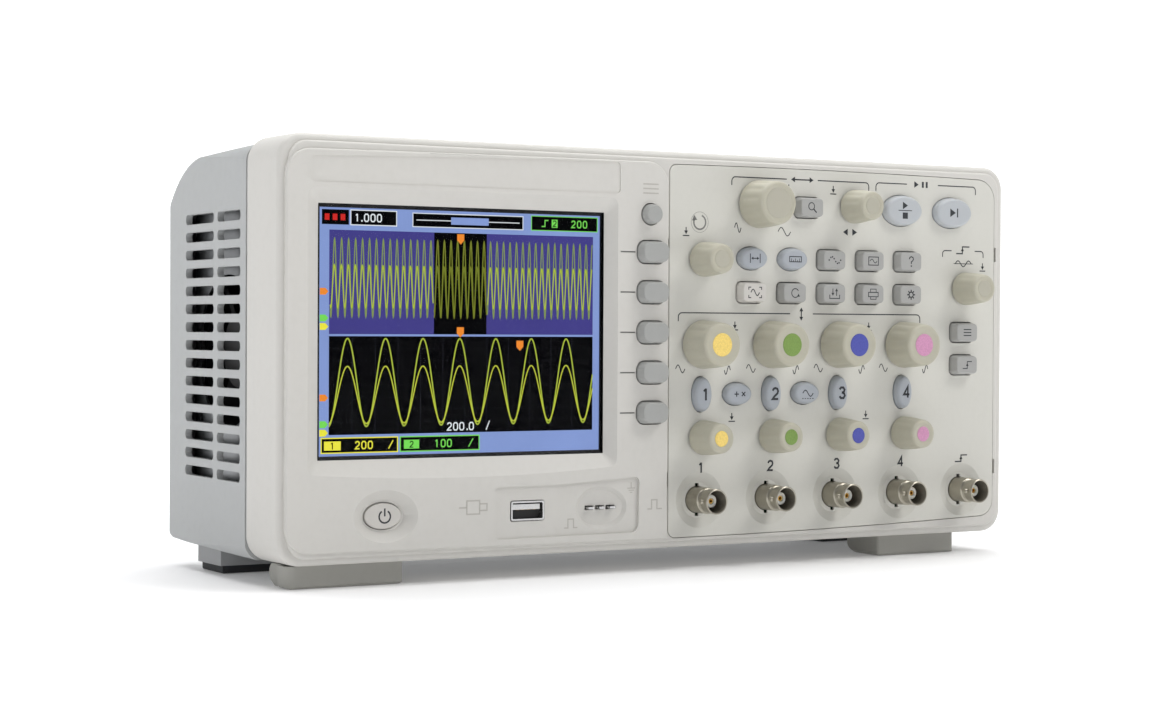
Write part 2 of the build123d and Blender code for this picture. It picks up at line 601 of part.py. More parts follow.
def make_inlet():
    x, z = INLET_X, INLET_Z
    s = prism(Pos(x, z) * RectangleRounded(27.8, 20.2, 3.0), 92.0, Y_REAR)
    fl = prism(Pos(x, z) * RectangleRounded(50.0, 23.0, 5.0), Y_REAR, Y_REAR + 1.9)
    fl = fillet(fl.faces().sort_by(Axis.Y)[-1].edges(), 0.6)
    s += fl
    cav = outline([("L", (12.0, 3.8)), ("L", (8.2, 7.6)), ("L", (-8.2, 7.6)), ("L", (-12.0, 3.8)),
                   ("L", (-12.0, -7.6)), ("L", (12.0, -7.6))])
    s -= prism(Pos(x, z) * cav, 98.0, 120)
    for dx, dz in ((-7, -2.0), (0, 2.0), (7, -2.0)):
        s += bx(x + dx - 1.0, x + dx + 1.0, 97.0, 110.0, z + dz - 2.0, z + dz + 2.0)
    for sx in (-1, 1):
        s -= cyl_y(x + sx * 20, z, 1.75, 110, 120)
        s += cyl_y(x + sx * 20, z, 2.9, Y_REAR + 0.2, Y_REAR + 2.0) & bx(x - 30, x + 30, 110, Y_REAR + 1.9, z - 12, z + 12)
    return s


def make_screws():
    one = cyl_y(0, 0, 3.0, 0, 2.2) + cyl_y(0, 0, 1.5, -18.0, 0.1)
    one = fillet(one.faces().sort_by(Axis.Y)[-1].edges(), 0.6)
    one -= bx(-2.2, 2.2, 1.1, 3, -0.45, 0.45) + bx(-0.45, 0.45, 1.1, 3, -2.2, 2.2)
    return [Pos(x, Y_REAR - 6.0, z) * one for x, z in SCREWS]


# ---------------------------------------------------------------- insides
def make_lcd():
    s = bx(WIN_L - 1.8, WIN_R + 1.8, Y_LCD, 10.4, WIN_B - 1.8, WIN_T + 1.8)
    s -= bx(LCD_L, LCD_R, Y_LCD - 1, Y_LCD + 0.5, LCD_B, LCD_T)
    s += bx(-146, -100, 10.0, 13.4, 60, 118)
    return s


def make_window():
    return bx(WIN_L - 2.0, WIN_R + 2.0, Y_WIN, Y_WIN + 1.2, WIN_B - 2.0, WIN_T + 2.0)


def make_panel_board():
    s = bx(-22.0, 152.0, Y_PCB, Y_PCB + T_PCB, 36.5, 150.5)
    add = []
    for n, (x, z, r, out) in KNOBS.items():
        add.append(prism(Pos(x, z) * RectangleRounded(12.0, 12.0, 0.8), 4.2, Y_PCB + 0.1))
    for k, (shape, x, z, w, h, out, r) in KEYS.items():
        add.append(bx(x - 3, x + 3, Y_PCB - 1.9, Y_PCB + 0.1, z - 3, z + 3))
    s += add
    holes = [cyl_y(x, z, R_SHAFT + 0.05, 3, Y_PCB) for (x, z, r, o) in KNOBS.values()]
    s -= holes
    # small board of the power switch
    p = bx(PWR_X - 13, PWR_X + 13, Y_PCB + 3.5, Y_PCB + 3.5 + T_PCB, 13.0, 36.0)
    p += bx(PWR_X - 3, PWR_X + 3, Y_PCB + 1.5, Y_PCB + 3.6, PWR_Z - 3, PWR_Z + 3)
    return [s, p]


def make_main_board():
    s = bx(-150, 152, Y_MAIN, Y_MAIN + T_PCB, 14.0, 150.0)
    chips = [(-110, 95, 30, 30, 2.2), (-60, 100, 24, 24, 2.0), (-20, 70, 18, 12, 1.8),
             (-96, 56, 20, 14, 1.6), (20, 100, 28, 28, 3.0), (62, 72, 14, 14, 1.6),
             (96, 72, 14, 14, 1.6), (128, 100, 20, 14, 1.8), (40, 60, 14, 14, 1.6)]
    add = [bx(x - w / 2, x + w / 2, Y_MAIN - t, Y_MAIN + 0.1, z - h / 2, z + h / 2)
           for x, z, w, h, t in chips]
    s += add
    # block that carries the sockets
    for x in BNC_X:
        s += bx(x - 6.8, x + 6.8, 14.0, Y_MAIN + 0.1, 19.4, 32.6)
    s += bx(USB_X - 6.6, USB_X + 6.6, 16.0, Y_MAIN + 0.1, USB_Z - 3.2, USB_Z + 3.2)
    s += bx(PC_X - 8, PC_X + 8, 16.0, Y_MAIN + 0.1, PC_Z - 4, PC_Z + 4) - sum_boxes(
        [(PC_X + d - 1.5, PC_X + d + 1.5, 10, Y_MAIN, PC_Z - 0.4, PC_Z + 0.4) for d in PC_DX])
    return s


def sum_boxes(bs):
    s = bx(*bs[0])
    for b in bs[1:]:
        s += bx(*b)
    return s


FAN_X0, FAN_X1 = -151.6, -136.6
FAN_Y, FAN_Z, FAN_S = 64.0, 82.0, 60.0


def make_shield():
    s = bx(-154.6, 154.6, Y_SHIELD, Y_SHIELD + 1.0, 12.5, 151.0)
    s += bx(-154.6, -153.6, Y_SHIELD, 95.0, 18.0, 140.0)
    s += bx(153.6, 154.6, Y_SHIELD, 95.0, 18.0, 140.0)
    s += bx(-154.6, 154.6, Y_SHIELD, 90.0, 14.5, 15.5)
    s -= cyl_x(FAN_Y, FAN_Z, 28.0, -160, -150)
    cuts = []
    for i in range(5):
        for j in range(9):
            cuts.append(cyl_x(40 + 11 * i, 30 + 13 * j, 3.6, 150, 160))
    s -= cuts
    for y, z in ((38.5, 56.5), (89.5, 56.5), (38.5, 107.5), (89.5, 107.5)):
        s -= cyl_x(y, z, 1.8, -160, -150)
    # four posts that the cover's screws pull on
    for x, z in SCREWS:
        s += cyl_y(x, z, 4.5, Y_SHIELD, 91.6)
        s -= cyl_y(x, z, 1.55, 70, 92)
    return s


def make_psu():
    x0, x1, z0, z1, y = 74.0, 148.0, 32.0, 120.0, 36.0
    s = bx(x0, x1, y, y + T_PCB, z0, z1)
    for x, z in ((78, 36), (144, 36), (78, 116), (144, 116)):
        s += cyl_y(x, z, 2.5, Y_SHIELD + 1.0, y + 0.1)
    s += bx(96, 124, y + 1.5, y + 28, 84, 110)
    s += bx(100, 106, y + 1.5, y + 32, 50, 82)
    s += cyl_y(134, 100, 8, y + 1.5, y + 30)
    s += cyl_y(134, 70, 6, y + 1.5, y + 24)
    s += cyl_y(86, 64, 5, y + 1.5, y + 20)
    s += bx(80, 92, y + 1.5, y + 18, 96, 116)
    return s


def make_fan_frame():
    h = FAN_S / 2
    s = side(Pos(FAN_Y, FAN_Z) * RectangleRounded(FAN_S, FAN_S, 4), FAN_X0, FAN_X1)
    s -= cyl_x(FAN_Y, FAN_Z, 28.4, FAN_X0 - 1, FAN_X1 + 1)
    # stator carrier with three arms on the inner side
    s += cyl_x(FAN_Y, FAN_Z, 11.5, FAN_X1 - 2.6, FAN_X1)
    for i in range(3):
        a = Pos(0, FAN_Y, FAN_Z) * Rot(120 * i + 30, 0, 0) * bx(FAN_X1 - 2.4, FAN_X1, -1.6, 1.6, 0, 29.0)
        s += a
    s += cyl_x(FAN_Y, FAN_Z, 4.0, FAN_X1 - 9.0, FAN_X1)
    s -= cyl_x(FAN_Y, FAN_Z, 1.55, FAN_X1 - 10, FAN_X1 - 0.8)
    for y, z in ((-25.5, -25.5), (25.5, -25.5), (-25.5, 25.5), (25.5, 25.5)):
        s -= cyl_x(FAN_Y + y, FAN_Z + z, 1.8, FAN_X0 - 1, FAN_X1 + 1)
    return s


def make_fan_rotor():
    x0 = FAN_X0 + 0.9
    s = cyl_x(FAN_Y, FAN_Z, 13.5, x0, FAN_X1 - 3.2)
    s -= cyl_x(FAN_Y, FAN_Z, 12.0, x0 + 1.6, FAN_X1)
    s += cyl_x(FAN_Y, FAN_Z, 1.5, x0 + 1, FAN_X1 - 1.6)
    for i in range(7):
        b = bx(-4.6, 4.6, 12.6, 27.4, -0.8, 0.8)
        b = Pos((x0 + FAN_X1 - 3.2) / 2, FAN_Y, FAN_Z) * Rot(360 / 7 * i, 0, 0) * Rot(0, 32, 0) * b
        s += b
    return s


# ------------------------------------------------------------------- build
put("front_bezel", make_bezel())
put("control_panel_plate", make_plate())
put("rear_cover", make_cover())
put("display_window", make_window())
put("lcd_module", make_lcd())
put("front_panel_board", make_panel_board())
put("main_board", make_main_board())
put("shield_chassis", make_shield())
put("power_supply_board", make_psu())
put("fan_frame", make_fan_frame())
put("fan_rotor", make_fan_rotor())
put("bnc_connectors", make_bncs())
put("usb_ports", make_usb())
put("probe_comp_terminals", make_probe_comp())
put("power_inlet", make_inlet())
put("rear_feet", make_rear_feet())
put("tilt_foot_left", make_tilt(*TILT_L, -1))
put("tilt_foot_right", make_tilt(*TILT_R, 1))
put("carry_handle", make_handle())
put("case_screws", make_screws())
put("power_button", make_power_key())
for k in KEYS:
    put(k, make_key(k))
for k in KNOBS:
    put(k, make_knob(k))


def solids_of(s):
    if isinstance(s, (list, tuple)):
        r = []
        for t in s:
            r += solids_of(t)
        return r
    if isinstance(s, Solid):
        return [s]
    return list(s.solids())


for name, shape in PARTS.items():
    ss = [Pos(0, -Y_SHIFT, 0) * t for t in solids_of(shape)]
    out = ss[0] if len(ss) == 1 else Compound(children=ss)
    export_step(out, "parts/%s.step" % name)
    print("%-28s solids %d" % (name, len(ss)))
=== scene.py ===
import math
import bpy
import bmesh
from mathutils import Matrix, Vector


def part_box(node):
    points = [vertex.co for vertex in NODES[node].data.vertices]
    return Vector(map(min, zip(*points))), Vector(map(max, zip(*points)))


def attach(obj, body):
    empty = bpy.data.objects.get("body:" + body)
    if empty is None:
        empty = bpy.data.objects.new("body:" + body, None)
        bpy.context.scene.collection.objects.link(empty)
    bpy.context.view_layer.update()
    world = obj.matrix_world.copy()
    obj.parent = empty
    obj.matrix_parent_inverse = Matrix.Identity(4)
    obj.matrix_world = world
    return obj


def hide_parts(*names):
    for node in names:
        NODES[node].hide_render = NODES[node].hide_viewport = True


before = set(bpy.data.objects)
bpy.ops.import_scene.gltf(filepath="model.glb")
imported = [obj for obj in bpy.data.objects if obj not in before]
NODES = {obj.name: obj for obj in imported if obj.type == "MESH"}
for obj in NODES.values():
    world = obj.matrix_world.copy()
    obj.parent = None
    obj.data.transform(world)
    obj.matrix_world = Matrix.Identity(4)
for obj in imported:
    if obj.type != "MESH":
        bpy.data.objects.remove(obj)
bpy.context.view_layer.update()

# ------------------------------------------------------------------ frame
# Numbers below are millimetres measured from the raised front face (y = 0
# there, y grows towards the rear), as the model's drawing gives them.
YS = 51.1


def P(x, y, z):
    return (x / 1000.0, (y - YS) / 1000.0, z / 1000.0)


def ctr(node):
    a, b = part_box(node)
    return ((a.x + b.x) * 500.0, (a.z + b.z) * 500.0)


def yfront(node):
    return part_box(node)[0].y * 1000.0 + YS


# ----------------------------------------------------------------- camera
cam_data = bpy.data.cameras.new("camera")
cam = bpy.data.objects.new("camera", cam_data)
bpy.context.scene.collection.objects.link(cam)
bpy.context.scene.camera = cam
C = Vector((-0.490648, -0.739881 - 0.0511, 0.090963))
yaw, pitch, roll, F = 0.54511, -0.01266, 0.00507, 2353.83
d = Vector((math.sin(yaw) * math.cos(pitch), math.cos(yaw) * math.cos(pitch), math.sin(pitch)))
r = Vector((math.cos(yaw), -math.sin(yaw), 0.0))
u = r.cross(d)
r2 = math.cos(roll) * r + math.sin(roll) * u
u2 = -math.sin(roll) * r + math.cos(roll) * u
m = Matrix((r2, u2, -d)).transposed().to_4x4()
m.translation = C
cam.matrix_world = m
cam_data.sensor_width = 36.0
cam_data.lens = 36.0 * F / 1164.0
cam_data.clip_start = 0.01
cam_data.clip_end = 20.0
cam_data.dof.use_dof = False


# -------------------------------------------------------------- materials
def lin(c):
    out = []
    for v in c[:3]:
        v = v / 255.0
        out.append(v / 12.92 if v <= 0.04045 else ((v + 0.055) / 1.055) ** 2.4)
    return out


class Mat:
    """Small helper that builds node materials."""

    def __init__(self, name):
        self.m = bpy.data.materials.new(name)
        self.m.use_nodes = True
        self.nt = self.m.node_tree
        self.b = self.nt.nodes["Principled BSDF"]
        self.out = self.nt.nodes["Material Output"]

    def node(self, t, **kw):
        n = self.nt.nodes.new(t)
        for k, v in kw.items():
            if k in n.inputs:
                n.inputs[k].default_value = v
            else:
                setattr(n, k, v)
        return n

    def link(self, a, b):
        self.nt.links.new(a, b)

    def coords(self):
        return self.node("ShaderNodeTexCoord").outputs["Object"]


def plastic(name, rgb, rough=0.5, grain=900.0, bump=0.06, mottle=0.03, spec=0.4, dirt=0.03, coat=0.0, sss=0.0):
    """Moulded plastic: fine grain in the surface, a little variation of
    colour and gloss, and slightly darker specks scattered at random."""
    k = Mat(name)
    b = k.b
    co = k.coords()
    base = lin(rgb)
    big = k.node("ShaderNodeTexNoise", Scale=14.0, Detail=4.0, Roughness=0.6)
    k.link(co, big.inputs["Vector"])
    fine = k.node("ShaderNodeTexNoise", Scale=grain, Detail=3.0, Roughness=0.55)
    k.link(co, fine.inputs["Vector"])
    mid = k.node("ShaderNodeTexNoise", Scale=grain * 0.35, Detail=2.0, Roughness=0.5)
    k.link(co, mid.inputs["Vector"])
    ramp = k.node("ShaderNodeMix", data_type="RGBA", blend_type="MIX")
    ramp.inputs["A"].default_value = [v * (1 - mottle) for v in base] + [1]
    ramp.inputs["B"].default_value = [min(1, v * (1 + mottle)) for v in base] + [1]
    k.link(big.outputs["Fac"], ramp.inputs["Factor"])
    speck = k.node("ShaderNodeMix", data_type="RGBA", blend_type="MULTIPLY")
    speck.inputs["B"].default_value = [1 - dirt, 1 - dirt, 1 - dirt * 1.1, 1]
    mr = k.node("ShaderNodeMapRange")
    mr.inputs["From Min"].default_value = 0.45
    mr.inputs["From Max"].default_value = 0.75
    k.link(mid.outputs["Fac"], mr.inputs["Value"])
    k.link(mr.outputs["Result"], speck.inputs["Factor"])
    k.link(ramp.outputs["Result"], speck.inputs["A"])
    k.link(speck.outputs["Result"], b.inputs["Base Color"])
    rr = k.node("ShaderNodeMapRange")
    rr.inputs["To Min"].default_value = max(0.03, rough - 0.06)
    rr.inputs["To Max"].default_value = rough + 0.07
    k.link(big.outputs["Fac"], rr.inputs["Value"])
    k.link(rr.outputs["Result"], b.inputs["Roughness"])
    bp = k.node("ShaderNodeBump")
    bp.inputs["Strength"].default_value = bump
    bp.inputs["Distance"].default_value = 0.00012
    k.link(fine.outputs["Fac"], bp.inputs["Height"])
    k.link(bp.outputs["Normal"], b.inputs["Normal"])
    b.inputs["Specular IOR Level"].default_value = spec
    if coat:
        b.inputs["Coat Weight"].default_value = coat
        b.inputs["Coat Roughness"].default_value = 0.15
    if sss:
        b.inputs["Subsurface Weight"].default_value = sss
        b.inputs["Subsurface Radius"].default_value = (0.004, 0.003, 0.002)
        b.inputs["Subsurface Scale"].default_value = 0.3
    return k.m


def metal(name, rgb, rough=0.3, scale=(400, 400, 400), var=0.08, bump=0.03):
    k = Mat(name)
    b = k.b
    co = k.coords()
    mp = k.node("ShaderNodeMapping")
    mp.inputs["Scale"].default_value = scale
    k.link(co, mp.inputs["Vector"])
    n = k.node("ShaderNodeTexNoise", Scale=1.0, Detail=4.0, Roughness=0.6)
    k.link(mp.outputs["Vector"], n.inputs["Vector"])
    base = lin(rgb)
    mix = k.node("ShaderNodeMix", data_type="RGBA")
    mix.inputs["A"].default_value = [v * (1 - var) for v in base] + [1]
    mix.inputs["B"].default_value = [min(1, v * (1 + var)) for v in base] + [1]
    k.link(n.outputs["Fac"], mix.inputs["Factor"])
    k.link(mix.outputs["Result"], b.inputs["Base Color"])
    rr = k.node("ShaderNodeMapRange")
    rr.inputs["To Min"].default_value = max(0.02, rough - 0.08)
    rr.inputs["To Max"].default_value = rough + 0.1
    k.link(n.outputs["Fac"], rr.inputs["Value"])
    k.link(rr.outputs["Result"], b.inputs["Roughness"])
    bp = k.node("ShaderNodeBump")
    bp.inputs["Strength"].default_value = bump
    bp.inputs["Distance"].default_value = 0.0001
    k.link(n.outputs["Fac"], bp.inputs["Height"])
    k.link(bp.outputs["Normal"], b.inputs["Normal"])
    b.inputs["Metallic"].default_value = 1.0
    return k.m


def glow(name, rgb, strength=1.0, grain=0.0):
    """Lit pixels of the display."""
    k = Mat(name)
    c = lin(rgb)
    k.b.inputs["Base Color"].default_value = [v * 0.02 for v in c] + [1]
    k.b.inputs["Roughness"].default_value = 0.35
    k.b.inputs["Specular IOR Level"].default_value = 0.05
    k.b.inputs["Emission Strength"].default_value = strength
    if grain:
        co = k.coords()
        n = k.node("ShaderNodeTexNoise", Scale=grain, Detail=2.0)
        k.link(co, n.inputs["Vector"])
        mix = k.node("ShaderNodeMix", data_type="RGBA")
        mix.inputs["A"].default_value = [v * 0.9 for v in c] + [1]
        mix.inputs["B"].default_value = [min(1, v * 1.08) for v in c] + [1]
        k.link(n.outputs["Fac"], mix.inputs["Factor"])
        k.link(mix.outputs["Result"], k.b.inputs["Emission Color"])
    else:
        k.b.inputs["Emission Color"].default_value = c + [1]
    return k.m


def ink(name, rgb, rough=0.55):
    k = Mat(name)
    co = k.coords()
    n = k.node("ShaderNodeTexNoise", Scale=2500.0, Detail=2.0)
    k.link(co, n.inputs["Vector"])
    c = lin(rgb)
    mix = k.node("ShaderNodeMix", data_type="RGBA")
    mix.inputs["A"].default_value = [v * 0.85 for v in c] + [1]
    mix.inputs["B"].default_value = [min(1, v * 1.2 + 0.004) for v in c] + [1]
    k.link(n.outputs["Fac"], mix.inputs["Factor"])
    k.link(mix.outputs["Result"], k.b.inputs["Base Color"])
    k.b.inputs["Roughness"].default_value = rough
    k.b.inputs["Specular IOR Level"].default_value = 0.3
    return k.m


M = {}
M["bezel"] = plastic("bezel_plastic", (208, 206, 201), rough=0.46, grain=1100, bump=0.05, mottle=0.012, dirt=0.02)
M["panel"] = plastic("panel_plastic", (208, 207, 200), rough=0.5, grain=1300, bump=0.04, mottle=0.01, dirt=0.015)
M["cover"] = plastic("cover_plastic", (178, 180, 180), rough=0.56, grain=750, bump=0.14, mottle=0.015, dirt=0.03)
M["knob"] = plastic("knob_plastic", (182, 179, 163), rough=0.5, grain=1500, bump=0.05, mottle=0.015, dirt=0.02, sss=0.1)
M["knob_cap"] = plastic("knob_cap", (178, 175, 161), rough=0.42, grain=1500, bump=0.03, mottle=0.01, dirt=0.01)
M["key_grey"] = plastic("key_grey", (164, 165, 163), rough=0.5, grain=1600, bump=0.04, mottle=0.01, dirt=0.015)
M["key_warm"] = plastic("key_warm", (166, 166, 164), rough=0.5, grain=1600, bump=0.04, mottle=0.01, dirt=0.015)
M["key_blue"] = plastic("key_blue", (168, 173, 180), rough=0.42, grain=1600, bump=0.03, mottle=0.012, dirt=0.015, sss=0.1)
M["key_run"] = plastic("key_run", (182, 186, 190), rough=0.4, grain=1600, bump=0.03, mottle=0.01, dirt=0.01, sss=0.1)
M["key_light"] = plastic("key_light", (205, 202, 197), rough=0.45, grain=1600, bump=0.03, mottle=0.01, dirt=0.01)
M["foot"] = plastic("foot_plastic", (164, 163, 157), rough=0.6, grain=900, bump=0.1, mottle=0.015, dirt=0.03)
M["rubber"] = plastic("pad_rubber", (38, 40, 44), rough=0.75, grain=600, bump=0.2, mottle=0.1, dirt=0.1, spec=0.25)
M["black"] = plastic("black_plastic", (26, 26, 27), rough=0.4, grain=900, bump=0.06, mottle=0.08, dirt=0.05)
M["lcdframe"] = plastic("lcd_frame", (16, 17, 20), rough=0.35, grain=900, bump=0.02, mottle=0.08, dirt=0.05)
M["ptfe"] = plastic("ptfe", (236, 234, 224), rough=0.5, grain=1200, bump=0.03, mottle=0.01, dirt=0.02, sss=0.2)
M["steel"] = metal("sheet_steel", (150, 152, 154), rough=0.38, scale=(60, 900, 60), var=0.1)
M["screw"] = metal("screw_steel", (150, 150, 148), rough=0.32, scale=(900, 900, 900))
M["nickel"] = metal("nickel", (176, 171, 158), rough=0.3, scale=(200, 1500, 200), var=0.08, bump=0.05)
# painted shade: the inside of the socket bores is the same nickel, given as a darker, dull copy that stands in for the
# shade inside them
M["nickel_dark"] = plastic("nickel_inside_painted_shade", (118, 113, 102), rough=0.45, grain=2200, bump=0.1, mottle=0.1, dirt=0.1, spec=0.5)
M["gold"] = metal("contact_gold", (212, 168, 88), rough=0.25, scale=(700, 700, 700))
M["tin"] = metal("socket_tin", (196, 196, 196), rough=0.24, scale=(300, 900, 300))
M["ink"] = ink("legend_ink", (52, 54, 58))
M["ink_soft"] = ink("legend_soft", (118, 118, 116))
# embossed marks are the bezel's own plastic; this darker grey is painted shade of their relief, not print
M["ink_emboss"] = ink("emboss_painted_shade", (180, 177, 171))


def pcb_material(name, rgb):
    k = Mat(name)
    co = k.coords()
    v = k.node("ShaderNodeTexBrick", Scale=120.0)
    v.inputs["Color1"].default_value = lin(rgb) + [1]
    v.inputs["Color2"].default_value = [c * 1.25 for c in lin(rgb)] + [1]
    v.inputs["Mortar"].default_value = [c * 1.8 + 0.01 for c in lin(rgb)] + [1]
    v.inputs["Mortar Size"].default_value = 0.012
    mp = k.node("ShaderNodeMapping")
    mp.inputs["Rotation"].default_value = (math.pi / 2, 0, 0)
    k.link(co, mp.inputs["Vector"])
    k.link(mp.outputs["Vector"], v.inputs["Vector"])
    k.link(v.outputs["Color"], k.b.inputs["Base Color"])
    k.b.inputs["Roughness"].default_value = 0.35
    return k.m


M["pcb"] = pcb_material("circuit_board", (24, 82, 46))


def window_material():
    k = Mat("window_clear")
    k.b.inputs["Base Color"].default_value = (1, 1, 1, 1)
    k.b.inputs["Roughness"].default_value = 0.08
    k.b.inputs["IOR"].default_value = 1.05
    k.b.inputs["Transmission Weight"].default_value = 1.0
    k.b.inputs["Specular IOR Level"].default_value = 0.35
    return k.m


M["window"] = window_material()


def disc_material(name, rgb):
    """Coloured disc with the fine stipple of its moulded face."""
    k = Mat(name)
    co = k.coords()
    v = k.node("ShaderNodeTexVoronoi", Scale=1500.0)
    k.link(co, v.inputs["Vector"])
    c = lin(rgb)
    mix = k.node("ShaderNodeMix", data_type="RGBA")
    mix.inputs["A"].default_value = [min(1, q * 1.08) for q in c] + [1]
    mix.inputs["B"].default_value = [q * 0.86 for q in c] + [1]
    k.link(v.outputs["Distance"], mix.inputs["Factor"])
    k.link(mix.outputs["Result"], k.b.inputs["Base Color"])
    bp = k.node("ShaderNodeBump")
    bp.inputs["Strength"].default_value = 0.15
    bp.inputs["Distance"].default_value = 0.0001
    k.link(v.outputs["Distance"], bp.inputs["Height"])
    k.link(bp.outputs["Normal"], k.b.inputs["Normal"])
    k.b.inputs["Roughness"].default_value = 0.5
    return k.m


M["yellow"] = disc_material("disc_yellow", (244, 214, 118))
M["green"] = disc_material("disc_green", (122, 152, 74))
M["blue"] = disc_material("disc_blue", (74, 80, 168))
M["pink"] = disc_material("disc_pink", (206, 146, 182))

# display colours
G = {
    "frame": glow("lcd_frame_blue", (134, 156, 212), 0.95, 60),
    "violet": glow("lcd_violet", (68, 64, 136), 0.95, 60),
    "black": glow("lcd_black", (5, 5, 9), 0.4),
    "trace": glow("lcd_trace_yellow", (196, 204, 66), 0.95),
    "trace2": glow("lcd_trace_green", (172, 190, 66), 0.95),
    "dense": glow("lcd_trace_dense", (132, 152, 88), 0.9),
    "dense_dk": glow("lcd_trace_dense_dark", (122, 132, 46), 0.85),
    "grid": glow("lcd_grid", (88, 90, 104), 0.6),
    "white": glow("lcd_white", (226, 232, 236), 0.95),
    "gtext": glow("lcd_green", (120, 220, 90), 0.95),
    "ytext": glow("lcd_yellow", (238, 232, 70), 0.95),
    "orange": glow("lcd_orange", (240, 140, 50), 0.95),
    "red": glow("lcd_red", (206, 44, 40), 0.95),
}


# -------------------------------------------------------- mesh primitives
def add_mesh(name, verts, faces, mat, smooth=False, angle=None):
    me = bpy.data.meshes.new(name)
    me.from_pydata([P(*v) for v in verts], [], faces)
    me.update()
    bm = bmesh.new()
    bm.from_mesh(me)
    bmesh.ops.recalc_face_normals(bm, faces=bm.faces[:])
    bm.to_mesh(me)
    bm.free()
    o = bpy.data.objects.new(name, me)
    bpy.context.scene.collection.objects.link(o)
    me.materials.append(mat)
    for p in me.polygons:
        p.use_smooth = smooth
    if smooth and angle is not None:
        me.set_sharp_from_angle(angle=math.radians(angle))
    return o


def lathe_data(x, z, prof, seg=48, r_mod=None, close=True):
    """Verts and faces of a profile [(r, y)] turned about the Y axis through
    (x, z).  Profile ends at r = 0 become poles."""
    verts, rings = [], []
    for (rr, y) in prof:
        if rr <= 1e-6:
            rings.append([len(verts)])
            verts.append((x, y, z))
            continue
        ring = []
        for i in range(seg):
            a = 2 * math.pi * i / seg
            q = rr if r_mod is None else r_mod(rr, y, a)
            ring.append(len(verts))
            verts.append((x + q * math.cos(a), y, z + q * math.sin(a)))
        rings.append(ring)
    faces = []
    for a, b in zip(rings[:-1], rings[1:]):
        if len(a) == 1 and len(b) == 1:
            continue
        for i in range(seg):
            j = (i + 1) % seg
            if len(a) == 1:
                faces.append((a[0], b[j], b[i]))
            elif len(b) == 1:
                faces.append((a[i], a[j], b[0]))
            else:
                faces.append((a[i], a[j], b[j], b[i]))
    return verts, faces


def lathe(name, x, z, prof, mat, seg=48, r_mod=None, angle=35):
    v, f = lathe_data(x, z, prof, seg, r_mod)
    return add_mesh(name, v, f, mat, smooth=True, angle=angle)


